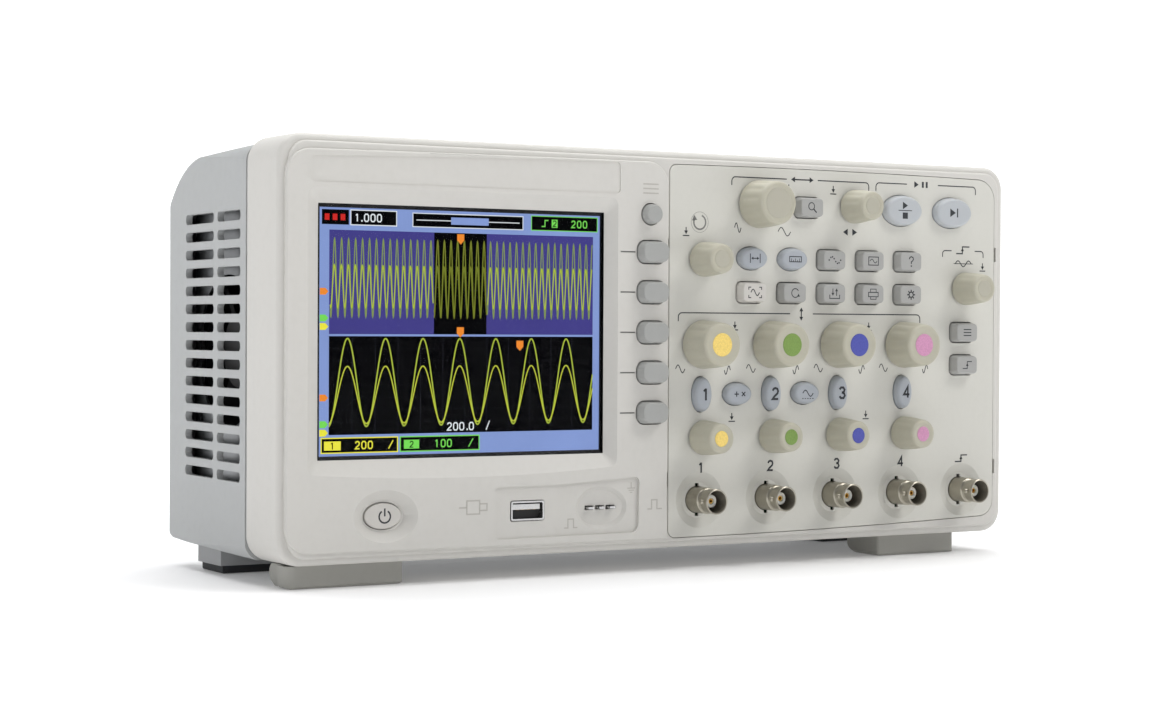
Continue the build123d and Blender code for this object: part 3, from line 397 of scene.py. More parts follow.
class Flat:
    """Collects thin printed shapes on a plane facing the front and turns them
    into one closed mesh: every shape is a small prism."""

    def __init__(self, y0, y1):
        self.y0, self.y1 = y0, y1
        self.v, self.f = [], []

    def poly(self, pts):
        """Convex polygon, (x, z)."""
        n = len(pts)
        b = len(self.v)
        self.v += [(x, self.y0, z) for x, z in pts] + [(x, self.y1, z) for x, z in pts]
        self.f.append(tuple(b + i for i in range(n)))
        self.f.append(tuple(b + n + i for i in reversed(range(n))))
        for i in range(n):
            j = (i + 1) % n
            self.f.append((b + i, b + n + i, b + n + j, b + j))

    def rect(self, x0, z0, x1, z1):
        self.poly([(x0, z0), (x1, z0), (x1, z1), (x0, z1)])

    def disc(self, x, z, r, n=16):
        self.poly([(x + r * math.cos(2 * math.pi * i / n), z + r * math.sin(2 * math.pi * i / n)) for i in range(n)])

    def line(self, pts, w, closed=False):
        """Stroke of constant width along a polyline with mitred joints."""
        pts = [Vector(p) for p in pts]
        n = len(pts)
        if n < 2:
            return
        L, R = [], []
        for i in range(n):
            if closed:
                a, c, e = pts[i - 1], pts[i], pts[(i + 1) % n]
                t1, t2 = (c - a).normalized(), (e - c).normalized()
            else:
                t1 = (pts[i] - pts[i - 1]).normalized() if i else None
                t2 = (pts[i + 1] - pts[i]).normalized() if i < n - 1 else None
                t1 = t1 or t2
                t2 = t2 or t1
            t = (t1 + t2)
            t = t.normalized() if t.length > 1e-6 else t1
            nn = Vector((-t.y, t.x))
            c_ = max(0.35, nn.dot(Vector((-t1.y, t1.x))))
            off = nn * (w / 2 / c_)
            L.append(pts[i] + off)
            R.append(pts[i] - off)
        b = len(self.v)
        for q in L:
            self.v.append((q.x, self.y0, q.y))
        for q in R:
            self.v.append((q.x, self.y0, q.y))
        for q in L:
            self.v.append((q.x, self.y1, q.y))
        for q in R:
            self.v.append((q.x, self.y1, q.y))
        m_ = n if closed else n - 1
        for i in range(m_):
            j = (i + 1) % n
            self.f.append((b + i, b + j, b + n + j, b + n + i))
            self.f.append((b + 2 * n + i, b + 3 * n + i, b + 3 * n + j, b + 2 * n + j))
            self.f.append((b + i, b + 2 * n + i, b + 2 * n + j, b + j))
            self.f.append((b + n + i, b + n + j, b + 3 * n + j, b + 3 * n + i))
        if not closed:
            self.f.append((b, b + n, b + 3 * n, b + 2 * n))
            self.f.append((b + n - 1, b + 3 * n - 1, b + 4 * n - 1, b + 2 * n - 1))

    def arc(self, x, z, r, a0, a1, w, n=18):
        pts = [(x + r * math.cos(math.radians(a0 + (a1 - a0) * i / n)),
                z + r * math.sin(math.radians(a0 + (a1 - a0) * i / n))) for i in range(n + 1)]
        self.line(pts, w)

    def digit(self, ch, x, z, h, w):
        """A digit drawn with strokes, centred on (x, z)."""
        a = h * 0.29
        t = h / 2
        if ch == "1":
            self.line([(x - a * 0.75, z + t * 0.52), (x - w * 0.1, z + t * 0.93)], w * 0.85)
            self.rect(x - w / 2, z - t, x + w / 2, z + t)
            return
        S = {
            "0": [[(-a, 0), (-a, t * .55), (-a * .5, t * .93), (a * .5, t * .93), (a, t * .55), (a, -t * .55), (a * .5, -t * .93), (-a * .5, -t * .93), (-a, -t * .55), (-a, 0)]],
            "2": [[(-a, t * .5), (-a * .6, t * .85), (0, t * .95), (a * .7, t * .82), (a * .95, t * .45), (a * .75, t * .05), (-a * .5, -t * .55), (-a, -t * .93), (a * 1.02, -t * .93)]],
            "3": [[(-a, t * .6), (-a * .5, t * .92), (a * .4, t * .92), (a * .9, t * .55), (a * .6, t * .12), (-a * .15, t * .04)],
                  [(-a * .15, t * .04), (a * .65, -t * .06), (a, -t * .48), (a * .5, -t * .92), (-a * .5, -t * .92), (-a, -t * .58)]],
            "4": [[(a * .45, -t), (a * .45, t * .95), (-a * 1.05, -t * .42), (a * 1.1, -t * .42)]],
            "5": [[(a * .9, t * .93), (-a * .75, t * .93), (-a * .85, t * .1), (0, t * .28), (a * .75, t * .1), (a, -t * .35), (a * .5, -t * .88), (-a * .4, -t * .93), (-a, -t * .6)]],
        }
        for s in S.get(ch, []):
            self.line([(x + p, z + q) for p, q in s], w)

    def make(self, name, mat, body):
        if not self.v:
            return None
        o = add_mesh(name, self.v, self.f, mat)
        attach(o, body)
        return o


# ------------------------------------------------- CAD nodes: materials
def set_mat(node, mat):
    o = NODES[node]
    if not o.data.materials:
        o.data.materials.append(mat)
    for s in o.material_slots:
        s.material = mat


set_mat("front_bezel", M["bezel"])
set_mat("control_panel_plate", M["panel"])
set_mat("rear_cover", M["cover"])
set_mat("display_window", M["window"])
set_mat("lcd_module", M["lcdframe"])
for n in ("front_panel_board", "main_board", "power_supply_board"):
    set_mat(n, M["pcb"])
set_mat("shield_chassis", M["steel"])
set_mat("fan_frame", M["black"])
set_mat("fan_rotor", M["black"])
set_mat("usb_ports", M["tin"])
set_mat("probe_comp_terminals", M["tin"])
set_mat("power_inlet", M["black"])
set_mat("tilt_foot_left", M["foot"])
set_mat("tilt_foot_right", M["foot"])
set_mat("carry_handle", M["foot"])
set_mat("case_screws", M["screw"])
set_mat("power_button", M["key_light"])


def foot_material():
    """Grey foot with a black rubber pad below it, split by height."""
    k = Mat("rear_foot_two_shot")
    co = k.coords()
    sep = k.node("ShaderNodeSeparateXYZ")
    k.link(co, sep.inputs["Vector"])
    lt = k.node("ShaderNodeMath", operation="LESS_THAN")
    lt.inputs[1].default_value = 0.00302
    k.link(sep.outputs["Z"], lt.inputs[0])
    n = k.node("ShaderNodeTexNoise", Scale=900.0, Detail=3.0)
    k.link(co, n.inputs["Vector"])
    mix = k.node("ShaderNodeMix", data_type="RGBA")
    mix.inputs["A"].default_value = lin((160, 161, 162)) + [1]
    mix.inputs["B"].default_value = lin((34, 36, 40)) + [1]
    k.link(lt.outputs["Value"], mix.inputs["Factor"])
    k.link(mix.outputs["Result"], k.b.inputs["Base Color"])
    rr = k.node("ShaderNodeMapRange")
    rr.inputs["To Min"].default_value = 0.55
    rr.inputs["To Max"].default_value = 0.75
    k.link(n.outputs["Fac"], rr.inputs["Value"])
    k.link(rr.outputs["Result"], k.b.inputs["Roughness"])
    bp = k.node("ShaderNodeBump")
    bp.inputs["Strength"].default_value = 0.15
    bp.inputs["Distance"].default_value = 0.00012
    k.link(n.outputs["Fac"], bp.inputs["Height"])
    k.link(bp.outputs["Normal"], k.b.inputs["Normal"])
    return k.m


set_mat("rear_feet", foot_material())

KEYS = [n for n in NODES if n.endswith("_button") and n != "power_button"]
OVALS = {"run_stop_button", "single_button", "cursors_button", "measure_button", "channel_1_button",
         "channel_2_button", "channel_3_button", "channel_4_button", "math_button", "ref_button"}
for n in KEYS:
    if n in ("run_stop_button", "single_button"):
        set_mat(n, M["key_run"])
    elif n in OVALS:
        set_mat(n, M["key_blue"])
    elif n == "auto_scale_button":
        set_mat(n, M["key_light"])
    elif n.startswith("softkey") or n.startswith("menu_on"):
        set_mat(n, M["key_grey"])
    else:
        set_mat(n, M["key_warm"])

# ------------------------------------------------------------------ knobs
KNOBS = [n for n in NODES if n.endswith("_knob")]
DISC = {"channel_1": "yellow", "channel_2": "green", "channel_3": "blue", "channel_4": "pink"}
for n in KNOBS:
    (x, z) = ctr(n)
    a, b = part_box(n)
    R = (b.x - a.x) * 500.0
    yf = a.y * 1000.0 + YS          # front of the cap
    big = R > 8
    nf = 14 if big else 12
    depth = 0.34 if big else 0.28

    def fl(rr, y, ang, R=R, yf=yf, nf=nf, depth=depth):
        # soft ribs along the side, fading towards the front edge
        t = min(1.0, max(0.0, (y - (yf + 1.2)) / 2.0)) * min(1.0, max(0.0, (-0.6 - y) / 0.8))
        if rr < R * 0.8:
            return rr
        w = 0.5 + 0.5 * math.cos(nf * ang)
        return rr - depth * t * (1 - w) ** 1.5

    rf = R - (1.0 if big else 1.0)     # radius of the front edge
    prof = [(0.0, yf + 0.45), (rf * 0.55, yf + 0.42), (rf - 2.0, yf + 0.30), (rf - 1.45, yf + 0.08), (rf - 1.1, yf + 0.0),
            (rf - 0.75, yf + 0.05), (rf - 0.35, yf + 0.25), (rf - 0.1, yf + 0.6), (rf + 0.05, yf + 1.2)]
    N = 9
    for i in range(1, N + 1):
        t = i / N
        y = yf + 1.2 + (0.1 - 0.7 - (yf + 1.2)) * t
        rr = rf + 0.05 + (R - rf - 0.05) * (1 - (1 - t) ** 1.6)
        prof.append((rr, y))
    prof += [(R, -0.25), (R - 0.35, 0.1), (R - 1.3, 0.1), (R - 1.4, -1.5), (3.2, -1.5), (3.0, 0.2), (3.0, 8.9), (0.0, 8.9)]
    o = lathe(n + "_body", x, z, prof, M["knob"], seg=120 if big else 96, r_mod=fl, angle=40)
    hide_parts(n)
    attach(o, n)
    key = n.rsplit("_", 2)[0]
    col = DISC.get("_".join(n.split("_")[:2]))
    rd = (4.4 if big else 3.0) if col else (rf - 2.3)
    y0 = yf + 0.30
    dp = [(0.0, y0 - 0.02), (rd * 0.6, y0 - 0.03), (rd - 0.35, y0 - 0.06), (rd - 0.08, y0 + 0.0), (rd, y0 + 0.12), (rd, y0 + 0.4), (0, y0 + 0.4)]
    c = lathe(n + "_cap", x, z, dp, M[col] if col else M["knob_cap"], seg=64, angle=50)
    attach(c, n)

# ------------------------------------------------------------- connectors
BNC = []


def bnc(name, x, z, yo=0.0, sgn=1.0):
    """Bayonet socket: shell with a rim, lugs, grooves near the base, white
    insulator and a gilt contact.  yo shifts it, sgn = -1 turns it round."""
    Y = lambda y: yo + sgn * y
    shell = [(4.22, -11.1), (4.55, -11.2), (4.8, -11.0), (4.82, -10.7), (4.82, -10.4), (4.66, -10.2), (4.66, -6.6), (4.5, -6.5), (4.5, -6.2),
             (4.66, -6.1), (4.66, -5.75), (4.5, -5.65), (4.5, -5.35), (4.66, -5.25), (4.9, -5.0), (5.0, -4.85), (5.0, 4.0), (4.2, 4.0)]
    o1 = lathe(name + "_shell", x, z, [(a, Y(b)) for a, b in shell], M["nickel"], seg=64, angle=30)
    inner = [(4.22, -11.08), (4.2, -10.6), (4.2, -1.6), (4.0, -1.4), (2.6, -1.4), (0.0, -1.4)]
    # the bore's darker colour is painted shade
    o2 = lathe(name + "_bore", x, z, [(a, Y(b)) for a, b in inner], M["nickel_dark"], seg=64, angle=30)
    ins = [(1.1, -3.0), (1.1, -7.1), (1.3, -7.35), (2.15, -7.38), (2.4, -7.15), (2.45, -6.7), (2.45, -1.5), (1.1, -1.5)]
    o3 = lathe(name + "_insulator", x, z, [(a, Y(b)) for a, b in ins], M["ptfe"], seg=40, angle=30)
    pin = [(0.0, -3.0), (0.5, -3.0), (0.5, -6.7), (0.62, -6.95), (0.85, -6.95), (0.98, -6.7), (0.98, -2.0), (0.0, -2.0)]
    o4 = lathe(name + "_contact", x, z, [(a, Y(b)) for a, b in pin], M["gold"], seg=28, angle=30)
    out = [o1, o2, o3, o4]
    for sx in (-1, 1):
        v, f = [], []
        seg = 20
        rings = [(0.95, 4.3), (0.95, 5.45), (0.75, 5.7), (0.0, 5.72)]
        idx = []
        for rr, xx in rings:
            ring = []
            for i in range(seg if rr else 1):
                a = 2 * math.pi * i / seg
                ring.append(len(v))
                v.append((x + sx * xx, Y(-8.2) + rr * math.cos(a), z + rr * math.sin(a)))
            idx.append(ring)
        for A, B in zip(idx[:-1], idx[1:]):
            for i in range(seg):
                j = (i + 1) % seg
                if len(B) == 1:
                    f.append((A[i], A[j], B[0]))
                else:
                    f.append((A[i], A[j], B[j], B[i]))
        f.append(tuple(reversed(idx[0])))
        out.append(add_mesh(name + "_lug_%s" % ("l" if sx < 0 else "r"), v, f, M["nickel"], smooth=True, angle=40))
    for o in out:
        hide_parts("bnc_connectors")
        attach(o, "case")
    return out


for i, x in enumerate((10.9, 43.1, 75.3, 107.5, 139.6)):
    bnc("input_%d" % (i + 1), x, 26.0)
bnc("rear_output", -18.0, 40.0, yo=100.5, sgn=-1.0)

# ------------------------------------------------------------ printed legends
YP = 0.8                       # face of the control plate
L = Flat(YP - 0.03, YP + 0.01)
W1 = 0.42


def bracket(x0, x1, z, g0, g1, drop=3.2, rr=1.6):
    """Group bracket with a gap from g0 to g1 for its symbol."""
    k = [(x0, z - drop), (x0, z - rr)]
    for i in range(1, 7):
        a = math.pi - math.pi / 2 * i / 6
        k.append((x0 + rr + rr * math.cos(a), z - rr + rr * math.sin(a)))
    k.append((g0, z))
    L.line(k, W1)
    k = [(x1, z - drop), (x1, z - rr)]
    for i in range(1, 7):
        a = math.pi / 2 * i / 6
        k.append((x1 - rr + rr * math.cos(a), z - rr + rr * math.sin(a)))
    k.append((g1, z))
    L.line(k, W1)


def tri(F_, x, z, s, direction):
    """Filled triangle pointing l, r, u or d."""
    q = {"l": [(-s, 0), (s * .7, s), (s * .7, -s)], "r": [(s, 0), (-s * .7, s), (-s * .7, -s)],
         "u": [(0, s), (-s, -s * .7), (s, -s * .7)], "d": [(0, -s), (-s, s * .7), (s, s * .7)]}[direction]
    F_.poly([(x + a, z + b) for a, b in q])


def sine(F_, x, z, w, h, per, lw, n=24, ph=0.0):
    F_.line([(x - w / 2 + w * i / n, z + h / 2 * math.sin(2 * math.pi * per * i / n + ph)) for i in range(n + 1)], lw)


bracket(25.1, 91.2, 149.2, 51.0, 66.0)
L.line([(54.5, 149.2), (62.5, 149.2)], 0.5)
tri(L, 54.2, 149.2, 1.1, "l")
tri(L, 62.8, 149.2, 1.1, "r")
bracket(94.8, 146.3, 149.4, 110.5, 126.5)
tri(L, 115.2, 149.4, 1.3, "r")
L.rect(118.2, 148.2, 119.2, 150.6)
L.rect(120.2, 148.2, 121.2, 150.6)
bracket(129.2, 150.6, 123.2, 133.9, 146.1, drop=2.6, rr=1.3)
L.line([(136.3, 122.1), (139.6, 122.1), (139.6, 124.9), (143.3, 124.9)], 0.5)
tri(L, 139.6, 123.7, 0.8, "u")
bracket(0.9, 117.6, 97.0, 53.0, 64.0)
L.line([(58.4, 95.4), (58.4, 98.4)], 0.5)
tri(L, 58.4, 98.6, 0.9, "u")
tri(L, 58.4, 95.2, 0.9, "d")
# level symbol over the trigger knob
L.line([(135.0, 118.0), (145.2, 118.0)], 0.3)
sine(L, 140.1, 118.0, 8.4, 2.4, 1.5, 0.4)
for i, x in enumerate((11.4, 43.7, 75.8, 107.9)):
    L.digit("1234"[i], x + 0.3, 38.2, 3.9, 0.74)
L.line([(136.4, 37.4), (139.6, 37.4), (139.6, 40.0), (142.8, 40.0)], 0.5)
tri(L, 139.6, 38.9, 0.8, "u")
tri(L, 79.9, 129.4, 1.35, "l")
tri(L, 84.1, 129.4, 1.35, "r")


def push_mark(x, z, s=1.0):
    """Arrow onto a bar: the knob below can be pressed."""
    L.line([(x, z + 2.0 * s), (x, z + 0.2 * s)], 0.42)
    tri(L, x, z + 0.1 * s, 0.85 * s, "d")
    L.line([(x - 1.5 * s, z - 1.2 * s), (x + 1.5 * s, z - 1.2 * s)], 0.42)


for (x, z) in ((52.0, 145.2), (73.6, 145.4), (4.2, 127.4), (150.3, 116.4)):
    push_mark(x, z)
for x in (11.3, 76.0):
    push_mark(x + 15.6, 91.8)
    push_mark(x + 14.4, 56.8)
for x in (11.3, 43.7, 76.0, 108.3):
    sine(L, x - 9.2 if x > 20 else x - 9.4, 75.8, 4.2, 3.0, 1.0, 0.36)
    sine(L, x + 12.2, 75.2, 2.8, 3.2, 1.0, 0.36, ph=math.pi)
sine(L, 28.0, 129.8, 3.0, 3.6, 1.0, 0.36)
sine(L, 50.0, 128.8, 6.0, 3.2, 1.0, 0.36)
lg = L.make("panel_legends", M["ink"], "case")

# turning mark by the entry knob
S = Flat(YP - 0.03, YP + 0.01)
S.arc(10.4, 131.4, 2.7, -205, 70, 0.62, 28)
S.poly([(10.4 + 2.7 * math.cos(math.radians(155)) - 1.1, 131.4 + 2.7 * math.sin(math.radians(155)) - 0.6),
        (10.4 + 2.7 * math.cos(math.radians(155)) + 1.3, 131.4 + 2.7 * math.sin(math.radians(155)) - 0.3),
        (10.4 + 2.7 * math.cos(math.radians(155)) - 0.1, 131.4 + 2.7 * math.sin(math.radians(155)) + 1.6)])
S.arc(10.4, 131.4, 3.9, 0, 360, 0.12, 40)
sm = S.make("turn_mark", M["ink_soft"], "case")

# embossed marks on the bezel: menu lines, plug, ground, square wave; they stand 0.05 mm proud, and their darker grey is
# painted shade of the relief
E = Flat(-0.05, 0.02)
for k in range(3):
    E.rect(-15.6, 141.3 + 1.7 * k, -8.8, 141.8 + 1.7 * k)
E.line([(-93.0, 26.6), (-89.8, 26.6)], 0.5)
E.line([(-89.8, 24.2), (-89.8, 29.0), (-84.6, 29.0), (-84.6, 24.2)], 0.5, closed=True)
E.line([(-84.6, 27.8), (-81.6, 27.8), (-81.6, 25.4), (-84.6, 25.4)], 0.5)
E.line([(-13.0, 23.4), (-11.2, 23.4), (-11.2, 26.8), (-8.8, 26.8), (-8.8, 23.4), (-6.6, 23.4)], 0.5)
em = E.make("bezel_marks", M["ink_emboss"], "case")
# ground and square wave embossed on the recess floor, with the same painted shade grey
E = Flat(1.05, 1.11)
E.line([(-48.6, 17.6), (-47.0, 17.6), (-47.0, 20.8), (-44.6, 20.8), (-44.6, 17.6), (-43.0, 17.6)], 0.4)
E.line([(-19.6, 33.6), (-19.6, 31.4)], 0.4)
for k, w in enumerate((1.7, 1.1, 0.5)):
    E.line([(-19.6 - w, 31.4 - 0.8 * k), (-19.6 + w, 31.4 - 0.8 * k)], 0.35)
em = E.make("recess_marks", M["ink_emboss"], "case")
# the bottoms of the fine lines from the screen to the soft keys, coloured mid grey as painted shade in their grooves
E = Flat(0.22, 0.31)
for z in (119.5, 104.5, 89.5, 74.5, 59.5):
    E.rect(-25.3, z - 0.24, -18.9, z + 0.24)
em = E.make("lead_line_groove_shade", M["ink_soft"], "case")


# ------------------------------------------------------------- key symbols
def on_key(n):
    yf = yfront(n)
    return Flat(yf - 0.02, yf + 0.03)


def finish_key(F_, n, mat="ink"):
    o = F_.make(n + "_symbol", M[mat], n)


def key_symbols():
    for i in range(4):
        n = "channel_%d_button" % (i + 1)
        x, z = ctr(n)
        F_ = on_key(n)
        F_.digit("1234"[i], x + 0.55, z, 4.5, 0.88)
        finish_key(F_, n)
    for n in KEYS:
        if n.startswith("channel") or n.startswith("softkey") or n.startswith("menu_on"):
            continue
        x, z = ctr(n)
        F_ = on_key(n)
        w = 0.36
        if n == "run_stop_button":
            tri(F_, x - 0.2, z + 2.0, 1.5, "r")
            F_.line([(x - 3.4, z), (x + 3.4, z)], 0.32)
            F_.rect(x - 1.3, z - 3.3, x + 1.3, z - 0.8)
        elif n == "single_button":
            tri(F_, x - 1.4, z, 1.7, "r")
            F_.rect(x + 0.9, z - 1.8, x + 1.5, z + 1.8)
        elif n == "menu_zoom_button":
            F_.arc(x - 0.5, z + 0.4, 1.4, 0, 360, w, 24)
            F_.line([(x + 0.5, z - 0.6), (x + 1.9, z - 2.0)], 0.55)
        elif n == "cursors_button":
            for dx in (-2.3, 2.3):
                F_.line([(x + dx, z - 1.8), (x + dx, z + 1.8)], w)
            F_.line([(x - 1.2, z), (x + 1.2, z)], w)
            tri(F_, x - 1.3, z, 0.6, "l")
            tri(F_, x + 1.3, z, 0.6, "r")
        elif n == "measure_button":
            F_.line([(x - 2.8, z - 1.0), (x - 2.8, z + 1.0), (x + 2.8, z + 1.0), (x + 2.8, z - 1.0)], w, closed=True)
            for k in range(1, 6):
                F_.line([(x - 2.8 + 0.93 * k, z - 1.0), (x - 2.8 + 0.93 * k, z + (0.3 if k % 2 else -0.2))], 0.26)
        elif n == "acquire_button":
            for k in range(8):
                F_.disc(x - 2.8 + 0.8 * k, z + 1.3 * math.sin(2 * math.pi * k / 7), 0.34, 10)
        elif n == "display_button":
            F_.line([(x - 2.4, z - 1.6), (x - 2.4, z + 1.6), (x + 2.4, z + 1.6), (x + 2.4, z - 1.6)], w, closed=True)
            sine(F_, x, z, 3.4, 1.5, 1.0, 0.3)
        elif n == "help_button":
            F_.line([(x - 1.1, z + 1.0), (x - 0.7, z + 1.75), (x, z + 2.0), (x + 0.85, z + 1.65), (x + 1.05, z + 0.95), (x + 0.6, z + 0.3),
                     (x, z - 0.1), (x, z - 0.9)], 0.45)
            F_.disc(x, z - 1.75, 0.36, 12)
        elif n == "auto_scale_button":
            for sx in (-1, 1):
                for sz in (-1, 1):
                    F_.line([(x + sx * 1.9, z + sz * 2.0), (x + sx * 3.0, z + sz * 2.0), (x + sx * 3.0, z + sz * 1.0)], w)
            sine(F_, x, z, 4.0, 2.4, 1.0, 0.4)
        elif n == "default_setup_button":
            F_.arc(x, z, 1.7, 30, 330, w, 26)
            tri(F_, x + 1.55, z - 0.9, 0.7, "u")
        elif n == "save_recall_button":
            F_.line([(x - 2.4, z - 0.4), (x - 2.4, z - 1.9), (x + 2.4, z - 1.9), (x + 2.4, z - 0.4)], w)
            F_.line([(x - 0.9, z + 2.0), (x - 0.9, z)], w)
            tri(F_, x - 0.9, z - 0.2, 0.7, "d")
            F_.line([(x + 0.9, z - 0.9), (x + 0.9, z + 1.2)], w)
            tri(F_, x + 0.9, z + 1.4, 0.7, "u")
        elif n == "print_button":
            F_.line([(x - 2.4, z - 1.0), (x - 2.4, z + 0.7), (x + 2.4, z + 0.7), (x + 2.4, z - 1.0)], w, closed=True)
            F_.line([(x - 1.4, z + 0.7), (x - 1.4, z + 2.0), (x + 1.4, z + 2.0), (x + 1.4, z + 0.7)], 0.3)
            F_.line([(x - 1.4, z - 1.0), (x - 1.4, z - 2.0), (x + 1.4, z - 2.0), (x + 1.4, z - 1.0)], 0.3)
        elif n == "utility_button":
            F_.arc(x, z, 1.05, 0, 360, 0.5, 24)
            for k in range(8):
                a = math.pi / 4 * k
                F_.line([(x + 1.2 * math.cos(a), z + 1.2 * math.sin(a)), (x + 2.0 * math.cos(a), z + 2.0 * math.sin(a))], 0.55)
        elif n == "trigger_menu_button":
            for k in (-1, 0, 1):
                F_.rect(x - 2.0, z + 1.2 * k - 0.2, x + 2.0, z + 1.2 * k + 0.2)
        elif n == "trigger_force_button":
            F_.line([(x - 2.4, z - 1.4), (x, z - 1.4), (x, z + 1.4), (x + 2.4, z + 1.4)], w)
            tri(F_, x, z + 0.1, 0.7, "u")
        elif n == "math_button":
            F_.line([(x - 2.6, z), (x - 0.6, z)], 0.45)
            F_.line([(x - 1.6, z - 1.0), (x - 1.6, z + 1.0)], 0.45)
            F_.line([(x + 0.8, z - 0.8), (x + 2.4, z + 0.8)], 0.45)
            F_.line([(x + 0.8, z + 0.8), (x + 2.4, z - 0.8)], 0.45)
        elif n == "ref_button":
            sine(F_, x, z, 5.0, 2.4, 1.0, 0.4)
            for k in range(5):
                F_.rect(x - 2.8 + 1.2 * k, z - 2.2, x - 2.1 + 1.2 * k, z - 1.9)
        finish_key(F_, n)
    # power symbol
    n = "power_button"
    x, z = ctr(n)
    F_ = on_key(n)
    F_.arc(x + 0.6, z - 0.2, 2.2, 122, 418, 0.6, 30)
    F_.line([(x + 0.6, z - 0.1), (x + 0.6, z + 2.7)], 0.6)
    finish_key(F_, n)


key_symbols()


# ---------------------------------------------------------------- display
X0, X1, Z0, Z1 = -145.6, -31.4, 45.9, 132.6
PW, PH = (X1 - X0) / 320.0, (Z1 - Z0) / 234.0


def sx(px):
    """Screen pixel column (0..320) to x."""
    return X0 + px * PW


def sz(py):
    """Screen pixel row (0..234, from the top) to z."""
    return Z1 - py * PH


def screen(name, depth):
    y = 5.38 - 0.02 * depth
    return Flat(y - 0.012, y)


def srect(F_, x0, y0, x1, y1):
    F_.rect(sx(x0), sz(y1), sx(x1), sz(y0))


def put(F_, name, mat):
    o = F_.make("screen_" + name, mat, "case")
    return o


F_ = screen("ground", 0)
srect(F_, 0, 0, 320, 234)
put(F_, "ground", G["frame"])
# fields
F_ = screen("zoom", 1)
srect(F_, 11, 21, 312, 119)
put(F_, "zoom_field", G["violet"])
F_ = screen("main", 1)
srect(F_, 11, 121, 312, 214)
srect(F_, 34, 2, 84, 16)
srect(F_, 3, 2, 32, 16)
srect(F_, 102, 3, 228, 16)
srect(F_, 238, 2, 317, 16)
srect(F_, 3, 217, 86, 231)
srect(F_, 89, 217, 178, 231)
put(F_, "dark_fields", G["black"])
F_ = screen("zoomwin", 2)
srect(F_, 126, 21, 186, 119)
put(F_, "zoom_window", G["black"])


def wave(F_, x0, x1, yc, amp, per, ph, lw, n):
    F_.line([(sx(x0 + (x1 - x0) * i / n), sz(yc - amp * math.sin(2 * math.pi * (x0 + (x1 - x0) * i / n) / per + ph))) for i in range(n + 1)], lw)


# grid dots of the lower window
F_ = screen("grid", 2)
for i in range(0, 61):
    x = 11 + 301 * i / 60.0
    for j in (0, 1, 2, 3, 4, 5, 6, 7, 8):
        y = 121 + 93 * j / 8.0
        if i % 1 == 0 and j not in (0, 8):
            srect(F_, x - 0.35, y - 0.35, x + 0.35, y + 0.35)
for i in range(1, 12):
    x = 11 + 301 * i / 12.0
    for j in range(1, 40):
        y = 121 + 93 * j / 40.0
        srect(F_, x - 0.35, y - 0.35, x + 0.35, y + 0.35)
for i in range(1, 12):
    x = 11 + 301 * i / 12.0
    for j in range(1, 16):
        if not 126 < x < 186:
            y = 21 + 98 * j / 16.0
            srect(F_, x - 0.3, y - 0.3, x + 0.3, y + 0.3)
put(F_, "grid_dots", G["grid"])

# zoomed-out traces above: many narrow periods
F_ = screen("dense", 3)
wave(F_, 12, 125, 66, 37, 7.55, 0.3, 0.42, 360)
wave(F_, 187, 311, 66, 37, 7.55, 0.3, 0.42, 390)
put(F_, "zoom_trace_large", G["dense"])
F_ = screen("dense2", 4)
wave(F_, 12, 125, 74, 20, 7.55, 0.5, 0.42, 360)
wave(F_, 187, 311, 74, 20, 7.55, 0.5, 0.42, 390)
put(F_, "zoom_trace_small", G["trace2"])
F_ = screen("dense3", 5)
wave(F_, 126, 186, 66, 37, 7.55, 0.3, 0.46, 200)
wave(F_, 126, 186, 76, 22, 7.55, 0.5, 0.46, 200)
put(F_, "zoom_trace_window", G["dense_dk"])

# main traces below
F_ = screen("t1", 3)
wave(F_, 11, 312, 164.8, 41.6, 41.5, -3.1075, 0.5, 460)
put(F_, "trace_channel_1", G["trace2"])
F_ = screen("t2", 4)
wave(F_, 11, 312, 176.6, 27.1, 41.5, -3.1075, 0.42, 460)
put(F_, "trace_channel_2", G["trace"])

# status boxes
F_ = screen("o1", 3)
F_.line([(sx(34), sz(2)), (sx(84), sz(2)), (sx(84), sz(16)), (sx(34), sz(16))], 0.35, closed=True)
F_.line([(sx(102), sz(3)), (sx(228), sz(3)), (sx(228), sz(16)), (sx(102), sz(16))], 0.3, closed=True)
# memory bar in the middle of the top line
F_.line([(sx(106), sz(9.5)), (sx(224), sz(9.5))], 0.3)
put(F_, "status_outlines", G["white"])
F_ = screen("o1b", 4)
srect(F_, 145, 6, 188, 13)
put(F_, "memory_window", G["frame"])
F_ = screen("o2", 3)
F_.line([(sx(3), sz(217)), (sx(86), sz(217)), (sx(86), sz(231)), (sx(3), sz(231))], 0.4, closed=True)
put(F_, "status_channel_1", G["ytext"])
F_ = screen("o3", 3)
F_.line([(sx(89), sz(217)), (sx(178), sz(217)), (sx(178), sz(231)), (sx(89), sz(231))], 0.4, closed=True)
put(F_, "status_channel_2", G["gtext"])
F_ = screen("o4", 3)
F_.line([(sx(238), sz(2)), (sx(317), sz(2)), (sx(317), sz(16)), (sx(238), sz(16))], 0.3, closed=True)
F_.line([(sx(250), sz(12)), (sx(254), sz(12)), (sx(254), sz(6)), (sx(258), sz(6))], 0.4)
srect(F_, 262, 5, 269, 13)
for k, ch in enumerate("200"):
    F_.digit(ch, sx(288 + 7 * k), sz(9), 2.6, 0.42)
put(F_, "status_trigger", G["gtext"])
F_ = screen("o5", 3)
for k in range(3):
    F_.rect(sx(6 + 8.5 * k), sz(12), sx(11 + 8.5 * k), sz(6))
put(F_, "status_run", G["red"])
F_ = screen("o6", 4)
for k, ch in enumerate("1"):
    F_.digit(ch, sx(41), sz(9), 2.7, 0.45)
srect(F_, 45.2, 11.2, 46.8, 12.8)
for k, ch in enumerate("000"):
    F_.digit(ch, sx(51 + 7 * k), sz(9), 2.7, 0.45)
for k, ch in enumerate("200"):
    F_.digit(ch, sx(144 + 7 * k), sz(208), 2.8, 0.45)
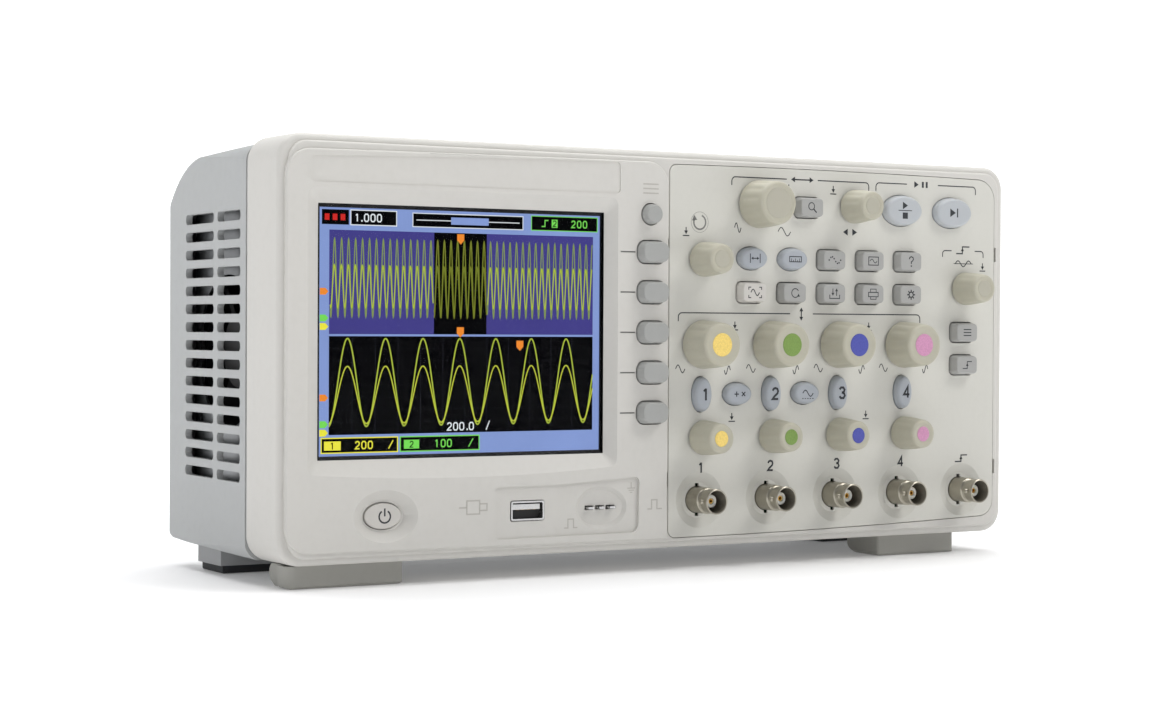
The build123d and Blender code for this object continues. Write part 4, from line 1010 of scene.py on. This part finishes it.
srect(F_, 163.5, 210.3, 165.1, 211.9)
F_.digit("0", sx(169), sz(208), 2.8, 0.45)
F_.line([(sx(186), sz(212)), (sx(190), sz(203))], 0.4)
put(F_, "time_readout", G["white"])
F_ = screen("o7", 4)
srect(F_, 6, 220, 24, 228.5)
for k, ch in enumerate("200"):
    F_.digit(ch, sx(42 + 7 * k), sz(224), 2.7, 0.45)
F_.line([(sx(76), sz(228)), (sx(81), sz(220))], 0.4)
put(F_, "readout_channel_1", G["ytext"])
F_ = screen("o8", 4)
srect(F_, 93, 220, 110, 228.5)
for k, ch in enumerate("100"):
    F_.digit(ch, sx(130 + 7 * k), sz(224), 2.7, 0.45)
F_.line([(sx(166), sz(228)), (sx(171), sz(220))], 0.4)
put(F_, "readout_channel_2", G["gtext"])
F_ = screen("o9", 5)
F_.digit("1", sx(15), sz(224.3), 2.4, 0.4)
F_.digit("2", sx(101.5), sz(224.3), 2.2, 0.36)
F_.digit("2", sx(265.5), sz(9), 2.2, 0.36)
put(F_, "readout_marks", G["black"])


# markers at the left and top edges of the traces
def marker(F_, px, py, s=4.0):
    F_.poly([(sx(px - s), sz(py - s * 0.8)), (sx(px + s * 0.5), sz(py - s * 0.8)), (sx(px + s * 1.3), sz(py)),
             (sx(px + s * 0.5), sz(py + s * 0.8)), (sx(px - s), sz(py + s * 0.8))])


F_ = screen("m1", 3)
marker(F_, 5, 79)
marker(F_, 5, 179)
for (px, py) in ((156, 22), (156, 112), (225, 125)):
    F_.poly([(sx(px - 4), sz(py)), (sx(px + 4), sz(py)), (sx(px + 4), sz(py + 6)), (sx(px), sz(py + 10)), (sx(px - 4), sz(py + 6))])
put(F_, "markers_trigger", G["orange"])
F_ = screen("m2", 3)
marker(F_, 5, 104)
marker(F_, 5, 204)
put(F_, "markers_channel_2", G["gtext"])
F_ = screen("m3", 3)
marker(F_, 5, 112)
marker(F_, 5, 212)
put(F_, "markers_channel_1", G["ytext"])

# ------------------------------------------------------- socket interiors
F_ = Flat(2.2, 2.6)
for k in range(4):
    F_.rect(-64.4 - 4.2 + 2.4 * k, 24.6 + 0.28, -64.4 - 2.9 + 2.4 * k, 24.6 + 0.42)
o = F_.make("usb_contacts", M["gold"], "case")
# painted shade inside the host socket: black blocks below, above and beside the tongue, where the socket is empty and
# dark
F_ = Flat(3.2, 9.3)
F_.rect(-70.6, 21.75, -58.2, 24.9)
F_.rect(-70.6, 26.98, -58.2, 27.45)
F_.rect(-58.62, 24.95, -58.2, 26.93)
F_.rect(-70.6, 24.95, -70.18, 26.93)
o = F_.make("usb_socket_painted_shade", M["black"], "case")

# ------------------------------------------------------------------ stage
def stage_floor():
    pts = []
    n = 18
    for i in range(2):
        pts.append((-3.2 + 0.0 * i, 0.0))
    prof = [(-3.0, 0.0), (1.6, 0.0)]
    for i in range(1, n + 1):
        a = math.pi / 2 * i / n
        prof.append((1.6 + 0.9 * math.sin(a), 0.9 - 0.9 * math.cos(a)))
    prof.append((2.5, 4.0))
    verts, faces = [], []
    for (y, z) in prof:
        verts.append((-5.0, y, z - 0.0002))
        verts.append((5.0, y, z - 0.0002))
    for i in range(len(prof) - 1):
        faces.append((2 * i, 2 * i + 1, 2 * i + 3, 2 * i + 2))
    me = bpy.data.meshes.new("floor")
    me.from_pydata(verts, [], faces)
    for p in me.polygons:
        p.use_smooth = True
    o = bpy.data.objects.new("floor", me)
    bpy.context.scene.collection.objects.link(o)
    # the sweep stands behind the object as the camera sees it
    o.rotation_euler = (0, 0, -yaw * 0.9)
    k = Mat("floor_white")
    k.b.inputs["Base Color"].default_value = (0.86, 0.86, 0.865, 1)
    k.b.inputs["Roughness"].default_value = 0.6
    k.b.inputs["Specular IOR Level"].default_value = 0.1
    k.b.inputs["Emission Color"].default_value = (1.0, 1.0, 1.0, 1)
    # the floor glows a little away from the object, so that it stays white
    # there, and not under it, where its shadow lies
    sep = k.node("ShaderNodeVectorMath", operation="LENGTH")
    k.link(k.coords(), sep.inputs[0])
    mr = k.node("ShaderNodeMapRange")
    mr.inputs["From Min"].default_value = 0.15
    mr.inputs["From Max"].default_value = 0.55
    mr.inputs["To Min"].default_value = 0.11
    mr.inputs["To Max"].default_value = 0.5
    k.link(sep.outputs["Value"], mr.inputs["Value"])
    k.link(mr.outputs["Result"], k.b.inputs["Emission Strength"])
    me.materials.append(k.m)


stage_floor()


def area(name, loc, target, size, power, color=(1, 1, 1), sy=None):
    ld = bpy.data.lights.new(name, "AREA")
    ld.shape = "RECTANGLE"
    ld.size = size
    ld.size_y = sy or size
    ld.energy = power
    ld.color = color
    o = bpy.data.objects.new(name, ld)
    bpy.context.scene.collection.objects.link(o)
    o.location = loc
    o.rotation_euler = (Vector(target) - Vector(loc)).to_track_quat("-Z", "Y").to_euler()
    return o


area("key", (1.0, -1.1, 1.6), (0.05, 0.0, 0.08), 0.9, 16, (1.0, 0.99, 0.97))
area("top", (0.0, 0.2, 1.8), (0.0, 0.0, 0.0), 1.6, 31, (1.0, 1.0, 1.0))
area("left", (-1.9, -0.2, 0.8), (0.0, 0.0, 0.08), 1.2, 6.5, (0.98, 0.99, 1.0))
area("front", (-0.2, -2.4, 0.6), (0.0, 0.0, 0.08), 1.4, 2.2, (1.0, 1.0, 1.0))

w = bpy.data.worlds.new("studio")
bpy.context.scene.world = w
w.use_nodes = True
w.node_tree.nodes["Background"].inputs["Color"].default_value = (0.96, 0.97, 1.0, 1)
w.node_tree.nodes["Background"].inputs["Strength"].default_value = 0.22

bpy.context.scene.view_settings.view_transform = "Standard"
bpy.context.scene.view_settings.look = "None"
bpy.context.scene.view_settings.exposure = 0.0
